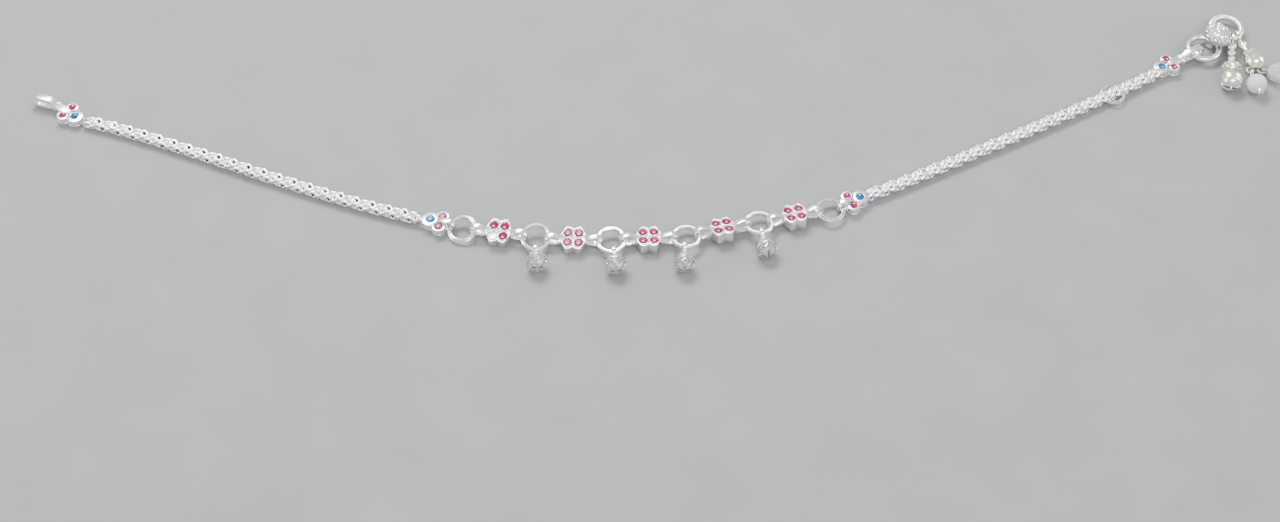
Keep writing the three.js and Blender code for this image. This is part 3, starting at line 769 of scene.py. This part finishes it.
def loop_bail(root, neck, width):
    """A strip bent to a loop that takes a ring: it starts at x = root and stands upright."""
    centre = root + neck + BAIL_REACH
    side = [(root - 0.3, 0.62), (root + 0.5, 0.95), (centre - 0.6, BAIL_RADIUS)]
    path = [(x, BAIL_AXIS - rise) for x, rise in side]
    path += arc_points((centre, BAIL_AXIS), BAIL_RADIUS, -90, 90, 12)
    path += [(x, BAIL_AXIS + rise) for x, rise in reversed(side)]
    return strip(path, width, STRIP_THICK)


def flower_link(sizes):
    parts = [flower_plate()]
    for x, y in FLOWER_SEATS:
        parts.append(collet(FLOWER_COLLET, FLOWER_STONE, FLOWER_FACE - 0.02, x, y))
    parts.append(ball(0.32, (0, 0, FLOWER_FACE - 0.2)))
    bail = loop_bail(FLOWER_HALF, FLOWER_NECK, sizes.bail_width)
    parts.append(copy_of(bail, Matrix.Rotation(math.pi, 4, "Z")))
    parts.append(bail)
    return joined(parts)


def cut_stone(radius, seed):
    """A round brilliant: table, crown and pavilion, with each facet's painted light written on the
    mesh.
    """
    obj = turned(scaled(STONE_PROFILE, radius), STONE_SIDES)
    half_side = Matrix.Rotation(math.pi / STONE_SIDES, 3, "Z")
    for vertex in obj.data.vertices:
        if 0.1 < vertex.co.z / radius < 0.25:
            vertex.co = half_side @ vertex.co
    with_modifier(obj, "TRIANGULATE")
    painted_glint = obj.data.attributes.new("facet", "FLOAT", "FACE")
    rng = random.Random(seed)
    # A painted highlight on one side of the table, and painted glints of random strength on the
    # other facets
    for face in obj.data.polygons:
        angle = math.degrees(math.atan2(face.center.y, face.center.x)) % 360
        if face.normal.z > 0.97:
            painted_highlight = 0.9 if abs(angle - SPARK_TURN) < SPARK_HALF else 0.22
            painted_glint.data[face.index].value = painted_highlight + 0.15 * rng.random()
        else:
            painted_glint.data[face.index].value = 0.15 + 0.5 * rng.random() ** 2
    return obj


def trefoil():
    """What all trefoils share: three settings, small beads between them and a rib round each."""
    parts = [collet(radius, stone, TREFOIL_FACE - 0.05, x, y) for x, y, radius, stone in LOBES]
    parts.append(ball(0.34, (0.75, 0, TREFOIL_FACE - 0.25)))
    for y in (1.5, -1.5):
        parts.append(ball(0.26, (0.05, y, TREFOIL_FACE - 0.35)))
    for x, y, radius, _ in LOBES:
        parts.append(ring(radius - 0.02, 0.09, 40, 6, Matrix.Translation((x, y, 0.75))))
    return parts


def inner_trefoil(sizes):
    return joined([*trefoil(), loop_bail(*TREFOIL_BAIL, sizes.bail_width)])


def rounded_box(low, high, soften):
    clear()
    size = [b - a for a, b in zip(low, high)]
    middle = [(a + b) / 2 for a, b in zip(low, high)]
    bpy.ops.mesh.primitive_cube_add(size=1, location=middle, scale=size)
    obj = settled(bpy.context.object)
    return with_modifier(obj, "BEVEL", width=soften, segments=3)


def bent_strip(tip, widths):
    """The hook's or strap's strip: up from the neck, round the bend and back below."""
    path = [(-0.4, 0.0), (0.1, 0.35), (1.1, 1.2), (2.2, 1.4)]
    path += arc_points(BEND_CENTRE, BEND_RADIUS, 90, -90, 10)
    path += [(2.6, -1.02), (1.5, -1.0), (tip, -0.8)]
    obj = strip(path, 1.0, BENT_THICK)
    last = len(path) - 1
    for vertex in obj.data.vertices:
        x, z = vertex.co.x, vertex.co.z
        nearest = min(range(len(path)), key=lambda i: (path[i][0] - x) ** 2 + (path[i][1] - z) ** 2)
        vertex.co.y *= widths[0] + (widths[1] - widths[0]) * nearest / last
    return obj


def outer_trefoil(strip_shape):
    """A trefoil with a boxed neck, a collar and the hook or the strap."""
    collar = NECK_END - 0.5
    parts = trefoil()
    parts.append(rounded_box((1.0, -1.0, 0.8), (collar, 1.0, 2.2), 0.25))
    parts.append(ring(1.0, 0.28, 32, 8, Matrix.Translation((collar, 0, NECK_AXIS)) @ LIE @
                      Matrix.Diagonal((0.85, 1.15, 1, 1))))
    place = (Matrix.Translation((NECK_END, 0, NECK_AXIS)) @
             Matrix.Rotation(math.radians(strip_shape["turn"]), 4, "Z") @
             Matrix.Rotation(math.radians(strip_shape["roll"]), 4, "X"))
    parts.append(settled(bent_strip(strip_shape["tip"], strip_shape["widths"]), place))
    return joined(parts)


def rib_share(at, count):
    """1 on the back of a rib and 0 in the groove between two, for ribs about Z."""
    return abs(math.cos(count * math.atan2(at.y, at.x) / 2))


def grooved(obj, count, depth, below=math.inf):
    """Presses upright grooves into a turned body, up to a height."""
    for vertex in obj.data.vertices:
        if vertex.co.z < below:
            groove = 1 - depth * (1 - rib_share(vertex.co, count))
            vertex.co.x *= groove
            vertex.co.y *= groove
    return obj


def slit(body, low, size, turns=(0,)):
    """Cuts a slot through a bell's foot, and once more for each further turn of the slot."""
    clear()
    bpy.ops.mesh.primitive_cube_add(size=1, location=(0, 0, low), scale=size)
    slot = settled(bpy.context.object)
    for turn in turns:
        slot.data.transform(Matrix.Rotation(math.radians(turn), 4, "Z"))
        with_modifier(body, "BOOLEAN", object=slot, operation="DIFFERENCE", solver="EXACT")
    removed(slot)
    return body


def small_bell():
    """A two-part bell: smooth cap, double flange, a band of scrolls, and a fluted, slit foot."""
    body = grooved(turned(BELL_PROFILE), BELL_FLUTES, FLUTE_DEPTH, BELL_FOOT)
    slit(body, -1.95, (0.34, 5, 1.2), (0, 90))
    # Painted shade: a little on the lower half, more in the foot's flutes, near black in the groove
    # between the flanges, dark over the band of scrolls
    with_painted_shade(body, 0.12, lambda at: at.z < -0.24)
    with_painted_shade(body, 0.6, lambda at: at.z < -1.3 and rib_share(at, BELL_FLUTES) < 0.6)
    with_painted_shade(body, 0.95, lambda at: abs(at.z) < 0.06 and at.xy.length < 2.3)
    with_painted_shade(body, 0.85, lambda at: -1.12 < at.z < -0.3)
    scrolls = []
    for i in range(BELL_SCROLLS):
        for share, rise, lean in ((0.0, -0.5, 55), (0.5, -0.86, -55)):
            angle = 2 * math.pi * (i + share) / BELL_SCROLLS
            out = Matrix.Translation((2.02 + 0.12 * (rise + 0.5), 0, rise))
            place = (Matrix.Rotation(angle, 4, "Z") @ out @
                     Matrix.Rotation(math.radians(lean), 4, "X") @
                     Matrix.Diagonal((0.6, 1.9, 0.75, 1)))
            scrolls.append(settled(ball(0.2, (0, 0, 0), 1), place))
    body = along_x(joined([body, *scrolls]), SMALL_BELL["length"])
    eye = strip(arc_points((0, 0), 1.1, 8, 352, 20), 0.8, 0.36)
    foot = ball(0.42, (1.3, 0, 0))
    return joined([body, eye, foot])


def round_body(radius):
    """A bell's ball with a raised band at its middle, scored lines below it and a slit."""
    rows = 24
    swells = {rows // 2: 0.1, rows // 2 + 2: -0.05, rows // 2 + 5: -0.05}
    profile = []
    for i in range(rows + 1):
        angle = math.pi * i / rows
        wide = radius + swells.get(i, 0)
        profile.append((wide * math.sin(angle), radius * math.cos(angle)))
    return slit(turned(profile, 36), -0.85 * radius, (0.4, 2.6 * radius, 0.7 * radius))


def eye_loop(radius, wire):
    return ring(radius, wire, 32, 8, STAND)


def bead_row(count, size, reach, at):
    """Small beads round a lying body."""
    angles = [2 * math.pi * i / count for i in range(count)]
    return [ball(size, (at, reach * math.cos(a), reach * math.sin(a)), 1) for a in angles]


def crown_bell():
    parts = [eye_loop(*EYE)]
    for at, radius in ((2.6, 1.05), (4.6, 0.85), (6.3, 0.78)):
        parts.append(along_x(turned(scaled(BEAD_PROFILE, radius), 20), at))
    stem = ((0, 5.2), (0.3, 5.2), (0.45, 4.6), (0.45, -4.8), (0, -4.8))
    parts.append(along_x(turned(stem, 16), 6.5))
    row = LYING["crown_bell"]
    crown = row["length"] - CROWN_REACH
    parts.append(along_x(turned((
        (0, 1.25), (0.55, 1.2), (1.1, 0.98), (1.3, 0.72), (1.36, 0.6), (1.8, 0.42), (1.95, 0.2),
        (1.95, -0.02), (1.7, -0.2), (1.3, -0.5), (1.22, -0.68), (1.3, -0.82), (1.62, -1.05),
        (1.66, -1.25), (1.5, -1.4), (0, -1.4),
    )), crown))
    parts += bead_row(12, 0.34, 1.85, crown)
    parts.append(along_x(round_body(row["radius"]), row["length"]))
    parts.append(ring(0.3, 0.15, 16, 6, Matrix.Translation((row["length"] + 2.5, 0, 0)) @ STAND))
    return joined(parts)


def round_bell():
    parts = [eye_loop(*EYE)]
    parts.append(along_x(turned((
        (0, 1.9), (0.45, 1.9), (0.5, 1.3), (0.9, 1.1), (1.12, 0.7), (1.12, 0.3), (0.8, 0.0),
        (0.62, -0.3), (0.62, -1.4), (1.0, -1.7), (1.45, -2.1), (1.6, -2.5), (1.45, -2.8), (0, -2.8),
    ), 28), 3.1))
    parts += bead_row(9, 0.3, 1.5, 5.55)
    row = LYING["round_bell"]
    parts.append(along_x(round_body(row["radius"]), row["length"]))
    for ear in EARS:
        angle = math.radians(ear)
        at = (row["length"] + EAR_REACH * math.cos(angle), EAR_REACH * math.sin(angle), EAR_DROP)
        parts.append(ring(0.75, 0.18, 24, 6, Matrix.Translation(at)))
    return joined(parts)


def ridged_ring(radius, wire, ridges):
    """A thick ring with fine ridges across its wire."""
    obj = ring(radius, wire, 4 * ridges, 14)
    for vertex in obj.data.vertices:
        angle = math.atan2(vertex.co.y, vertex.co.x)
        core = Vector((radius * math.cos(angle), radius * math.sin(angle), 0))
        swell = 0.965 + 0.05 * math.cos(ridges * angle)
        vertex.co = core + (vertex.co - core) * swell
    return obj


def textured_link():
    """A strip loop that holds two rings, under a domed plate covered with grains."""
    reach, rise = LINK_HALF
    path = [(0.0, -rise)]
    for x, z, start in ((1, -1, -90), (1, 1, 0), (-1, 1, 90), (-1, -1, 180)):
        corner = (x * (reach - LINK_CORNER), z * (rise - LINK_CORNER))
        path += arc_points(corner, LINK_CORNER, start, start + 90, 4)
    path += [(-0.15, -rise)]
    parts = [settled(strip(path, 1.7, STRIP_THICK), Matrix.Translation((0, 0, LINK_AXIS)))]
    shape = Matrix.Rotation(math.radians(DOME_TURN), 4, "Z") @ Matrix.Diagonal((*DOME_HALF, 1))
    top = Matrix.Translation(DOME_AT)
    # The domed plate is drawn dark all over: painted shade between the grains
    parts.append(settled(with_painted_shade(turned(DOME_PROFILE, 48), 0.72), top @ shape))
    rng = random.Random(11)
    for i in range(GRAINS):
        share = math.sqrt((i + 0.5) / GRAINS)
        angle = i * GOLDEN_ANGLE
        out = GRAIN_SPREAD * share
        height = math.sqrt(max(0.0, 1 - out ** 2.6)) * 0.98
        at = top @ shape @ Vector((out * math.cos(angle), out * math.sin(angle), height))
        grain = ball(rng.uniform(0.19, 0.31), (0, 0, 0), 1)
        turn = Matrix.Rotation(rng.uniform(0, math.pi), 4, "Z")
        lie = turn @ Matrix.Diagonal((1.35, 0.85, 0.8, 1))
        parts.append(settled(grain, Matrix.Translation(at) @ lie))
    return joined(parts)


def frosted_ball():
    """A round glass ball, and the silver pin through it."""
    rows = 20
    angles = [math.pi * i / rows for i in range(rows + 1)]
    row = LYING["frosted_ball"]
    profile = scaled([(math.sin(angle), math.cos(angle)) for angle in angles], row["radius"])
    glass = along_x(turned(profile, 36), row["length"])
    cap = ((0, 0.7), (0.22, 0.7), (0.26, 0.3), (0.7, 0.1), (0.8, -0.25), (0.7, -0.5), (0, -0.5))
    end = ((0, 0.5), (0.62, 0.45), (0.8, 0.2), (0.82, -0.1), (0.7, -0.4), (0.4, -0.62), (0, -0.7))
    pin = joined([
        eye_loop(*PIN_EYE),
        along_x(turned(cap, 20), 1.15),
        along_x(turned(end, 24), row["length"] + 2.3),
    ])
    return glass, pin


def ribbed_bead():
    """A melon bead of clear glass, and the silver pin through it."""
    row = LYING["ribbed_bead"]
    sides = [(row["radius"] * share, BEAD_HALF * height) for share, height in RIBBED_PROFILE]
    profile = [(0, BEAD_HALF), *sides, (0, -BEAD_HALF)]
    glass = grooved(turned(profile, 8 * BEAD_RIBS), BEAD_RIBS, RIB_DEPTH)
    along_x(glass, row["length"])
    cap = ((0, 0.3), (0.3, 0.3), (0.75, 0.05), (0.85, -0.2), (0, -0.3))
    end = ((0, 0.3), (0.7, 0.2), (0.6, -0.2), (0, -0.35))
    pin = joined([
        eye_loop(*PIN_EYE),
        along_x(turned(cap, 20), 0.75),
        along_x(turned(end, 20), 5.4),
    ])
    return glass, pin


# ---- the add-on

class AnkletSizes(bpy.types.PropertyGroup):
    chain_wire: bpy.props.FloatProperty(
        name="Chain wire", default=0.78, min=0.3,
        description="Width of the woven chain's wire, in millimetres",
    )
    bail_width: bpy.props.FloatProperty(
        name="Bail width", default=1.3,
        description="Width of the strip loops that hold the rings, in millimetres",
    )
    jump_wire: bpy.props.FloatProperty(
        name="Jump ring wire", default=0.56,
        description="Width of one turn of a jump ring, in millimetres",
    )
    ridges: bpy.props.IntProperty(
        name="Ridges", default=44, min=8,
        description="Fine ridges round the tassel's ring",
    )


class AnkletColours(bpy.types.PropertyGroup):
    silver: bpy.props.FloatVectorProperty(
        name="Silver", default=(0.97, 0.968, 0.96), size=3, subtype="COLOR",
        description="Polished silver",
    )
    tarnish: bpy.props.FloatVectorProperty(
        name="Tarnish", default=(0.88, 0.875, 0.86), size=3, subtype="COLOR",
        description="Duller silver between the bright places",
    )
    pink: bpy.props.FloatVectorProperty(
        name="Pink stones", default=(0.26, 0.006, 0.08), size=3, subtype="COLOR",
        description="Main colour of the pink stones",
    )
    blue: bpy.props.FloatVectorProperty(
        name="Blue stones", default=(0.003, 0.09, 0.26), size=3, subtype="COLOR",
        description="Main colour of the blue stones",
    )


def palette(context):
    """The anklet's materials, each made once: kind, then the numbers and colours of that kind."""
    kept = bpy.data.materials
    colours = context.scene.anklet_colours
    looks = {
        "polished silver": (silver, colours.silver, colours.tarnish, 0.13, 0.26),
        "woven silver": (silver, colours.silver, colours.tarnish, 0.2, 0.36, 700.0),
        # Bell silver's warm olive tints are painted reflections, not the metal's colour
        "bell silver": (silver, (0.95, 0.95, 0.88), (0.78, 0.79, 0.68), 0.1, 0.24, 600.0),
        # The stones' third colours are the pale tone of their painted highlights and glints
        "pink stone": (gem, (0.04, 0.001, 0.014), colours.pink, (0.9, 0.28, 0.5)),
        "blue stone": (gem, (0.001, 0.01, 0.05), colours.blue, (0.1, 0.5, 0.75)),
        "frosted glass": (bead_glass, (0.7, 0.66, 0.72), (0.86, 0.84, 0.88), 0.42, 0.35),
        "clear glass": (bead_glass, (0.8, 0.8, 0.83), (0.93, 0.93, 0.95), 0.08, 0.75),
    }
    return {name: kept.get(name) or make(name, *look) for name, (make, *look) in looks.items()}


class ANKLET_OT_chains(bpy.types.Operator):
    """Weaves both chains along their bars"""

    bl_idname = "anklet.chains"
    bl_label = "Woven chains"

    def execute(self, context):
        sizes, look = context.scene.anklet_sizes, palette(context)["woven silver"]
        for node in ("chain_left", "chain_right"):
            chain = woven_chain(node, sizes)
            finished(chain, f"woven_{node}", Matrix(), node, "silver", look, 60)
        return {"FINISHED"}


class ANKLET_OT_flowers(bpy.types.Operator):
    """Casts the flower links with their settings and loops"""

    bl_idname = "anklet.flowers"
    bl_label = "Flower links"

    def execute(self, context):
        sizes, look = context.scene.anklet_sizes, palette(context)["polished silver"]
        base = flower_link(sizes)
        for number in range(1, 6):
            link, node = copy_of(base, Matrix()), f"flower_link_{number}"
            finished(link, f"flower_{number}", flower_frame(number), node, "silver", look)
        removed(base)
        return {"FINISHED"}


class ANKLET_OT_stones(bpy.types.Operator):
    """Cuts and sets every stone"""

    bl_idname = "anklet.stones"
    bl_label = "Stones"

    def execute(self, context):
        looks = palette(context)
        seats = []
        for number in range(1, 6):
            place = flower_frame(number)
            for i, (x, y) in enumerate(FLOWER_SEATS):
                seat = place @ Matrix.Translation((x, y, FLOWER_FACE - STONE_SINK))
                seats.append((f"flower_{number}_stone_{i + 1}", "pink", FLOWER_STONE, seat))
        for name in ("hook_trefoil", "inner_left_trefoil", "inner_right_trefoil", "end_trefoil"):
            place = trefoil_frame(name)
            for i, (x, y, _, radius) in enumerate(LOBES):
                seat = place @ Matrix.Translation((x, y, TREFOIL_FACE - STONE_SINK))
                seats.append((f"{name}_stone_{i + 1}", "pink" if i else "blue", radius, seat))
        filled = [row for row in seats if row[0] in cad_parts]
        for count, (node, colour, radius, seat) in enumerate(filled, 1):
            stone, look = cut_stone(radius, count), looks[f"{colour} stone"]
            finished(stone, node, seat, node, f"{colour}_stone", look, 1)
        return {"FINISHED"}


class ANKLET_OT_rings(bpy.types.Operator):
    """Makes the rings between the links, the jump rings and the size ring"""

    bl_idname = "anklet.rings"
    bl_label = "Rings"

    def execute(self, context):
        sizes, look = context.scene.anklet_sizes, palette(context)["polished silver"]
        for number in range(1, 5):
            node = f"bell_ring_{number}"
            finished(ring(*BELL_RING), f"ring_{number}", ring_frame(node), node, "silver", look)
        jump_wire = sizes.jump_wire / 2
        for node, wire, (radius, spread, rise) in (
            ("jump_ring_left", jump_wire, JUMP_RING),
            ("jump_ring_right", jump_wire, JUMP_RING),
            ("adjusting_ring", ADJUSTING_WIRE, ADJUSTING_RING),
        ):
            turns = []
            for side in (-1, 1):
                place = Matrix.Translation((0, 0, -side * rise))
                turns.append(ring(radius + side * spread, wire, 56, 8, place))
            finished(joined(turns), node, ring_frame(node), node, "silver", look)
        return {"FINISHED"}


class ANKLET_OT_bells(bpy.types.Operator):
    """Makes the small bells"""

    bl_idname = "anklet.bells"
    bl_label = "Small bells"

    def execute(self, context):
        look = palette(context)["polished silver"]
        base = small_bell()
        for number in range(1, 5):
            bell, node = copy_of(base, Matrix()), f"bell_{number}"
            finished(bell, f"small_{node}", lying_frame(node), node, "silver", look, 30)
        removed(base)
        return {"FINISHED"}


class ANKLET_OT_trefoils(bpy.types.Operator):
    """Makes the three-stone ends, with the hook and the strap"""

    bl_idname = "anklet.trefoils"
    bl_label = "Trefoil ends"

    def execute(self, context):
        sizes, look = context.scene.anklet_sizes, palette(context)["polished silver"]
        for node in ("inner_left_trefoil", "inner_right_trefoil"):
            finished(inner_trefoil(sizes), node, trefoil_frame(node), node, "silver", look)
        for node, shape in (("hook_trefoil", HOOK), ("end_trefoil", STRAP)):
            finished(outer_trefoil(shape), node, trefoil_frame(node), node, "silver", look)
        return {"FINISHED"}


class ANKLET_OT_tassel(bpy.types.Operator):
    """Makes the closing ring and the tassel that hangs from it"""

    bl_idname = "anklet.tassel"
    bl_label = "Closing ring and tassel"

    def execute(self, context):
        sizes, looks = context.scene.anklet_sizes, palette(context)
        look = looks["polished silver"]
        closing, node = ring_frame("closing_ring"), "closing_ring"
        finished(ring(*CLOSING_RING, 64, 14), node, closing, node, "silver", look)
        large, node = ridged_ring(*TASSEL_RING, sizes.ridges), "tassel_ring"
        finished(large, node, ring_frame(node), node, "silver", look, 60)
        start = closing.translation
        turn = Matrix.Rotation(math.radians(TASSEL_TURN), 4, "Z")
        place = Matrix.Translation((start.x, start.y, 0)) @ turn
        place = place @ Matrix.Translation((LINK_OFFSET, 0, 0))
        finished(textured_link(), "textured_link", place, "textured_link", "silver", look)
        pins = looks["bell silver"]
        for node, body in (("crown_bell", crown_bell()), ("round_bell", round_bell())):
            finished(body, node, lying_frame(node), node, "silver", pins, 30)
        for node, slot_name, glass_name, (glass, pin) in (
            ("frosted_ball", "frosted_bead", "frosted glass", frosted_ball()),
            ("ribbed_bead", "clear_bead", "clear glass", ribbed_bead()),
        ):
            place = lying_frame(node)
            finished(glass, node, place, node, slot_name, looks[glass_name], 40)
            finished(pin, f"{node}_pin", place, node, "silver", pins, 30)
        return {"FINISHED"}


def aim(obj, at, target):
    obj.rotation_euler = (Vector(target) - Vector(at)).to_track_quat("-Z", "Y").to_euler()


class ANKLET_OT_stage(bpy.types.Operator):
    """Lays the pale floor and sets the soft lights and the camera"""

    bl_idname = "anklet.stage"
    bl_label = "Floor, lights and camera"

    def execute(self, context):
        clear()
        bpy.ops.mesh.primitive_grid_add(x_subdivisions=8, y_subdivisions=8, size=FLOOR_WIDE)
        floor = bpy.context.object
        floor.name = "pale floor"
        paper = Maker("pale paper")
        clouds = paper.noise(60.0, 4.0)
        paper.shade(
            Base_Color=paper.ramp(clouds, [(0.3, FLOOR_DARK), (0.7, FLOOR_LIGHT)]),
            Roughness=clouds * 0.1 + 0.75,
        )
        floor.data.materials.append(paper.material)
        middle = flower_frame(MIDDLE_FLOWER).translation
        middle = Vector((middle.x, middle.y, 0))
        target = (middle + Vector(TARGET_OFFSET)) * MM
        place = (middle + Vector(CAMERA_OFFSET)) * MM
        clear()
        bpy.ops.object.camera_add(location=place)
        camera = bpy.context.object
        camera.data.lens = LENS
        camera.data.sensor_width = 36
        camera.data.clip_start = 0.005
        aim(camera, place, target)
        context.scene.camera = camera
        for name, at, size, power, colour in LIGHTS:
            clear()
            bpy.ops.object.light_add(type="AREA", location=at)
            lamp = bpy.context.object
            lamp.name = name
            lamp.data.shape = "RECTANGLE"
            lamp.data.size, lamp.data.size_y = size
            lamp.data.energy = power
            lamp.data.color = colour
            aim(lamp, at, (0, 0, 0))
        world = context.scene.world or bpy.data.worlds.new("studio")
        context.scene.world = world
        world.use_nodes = True
        sky = world.node_tree.nodes["Background"]
        sky.inputs["Color"].default_value = (*WHITE, 1)
        sky.inputs["Strength"].default_value = WORLD_STRENGTH
        return {"FINISHED"}


class ANKLET_PT_panel(bpy.types.Panel):
    """The sizes, the colours and one button for each step"""

    bl_idname = "ANKLET_PT_panel"
    bl_label = "Payal anklet"
    bl_space_type = "VIEW_3D"
    bl_region_type = "UI"
    bl_category = "Payal"

    def draw(self, context):
        for group in (context.scene.anklet_sizes, context.scene.anklet_colours):
            for name in group.__annotations__:
                self.layout.prop(group, name)
        for step in STEPS:
            self.layout.operator(step.bl_idname)


STEPS = (
    ANKLET_OT_chains, ANKLET_OT_flowers, ANKLET_OT_stones, ANKLET_OT_rings, ANKLET_OT_bells,
    ANKLET_OT_trefoils, ANKLET_OT_tassel, ANKLET_OT_stage,
)
CLASSES = (AnkletSizes, AnkletColours, *STEPS, ANKLET_PT_panel)


def register():
    for cls in CLASSES:
        bpy.utils.register_class(cls)
    bpy.types.Scene.anklet_sizes = bpy.props.PointerProperty(type=AnkletSizes)
    bpy.types.Scene.anklet_colours = bpy.props.PointerProperty(type=AnkletColours)


def unregister():
    del bpy.types.Scene.anklet_colours
    del bpy.types.Scene.anklet_sizes
    for cls in reversed(CLASSES):
        bpy.utils.unregister_class(cls)


def main():
    register()
    for step in STEPS:
        group, name = step.bl_idname.split(".")
        getattr(getattr(bpy.ops, group), name)()


if __name__ == "__main__":
    main()
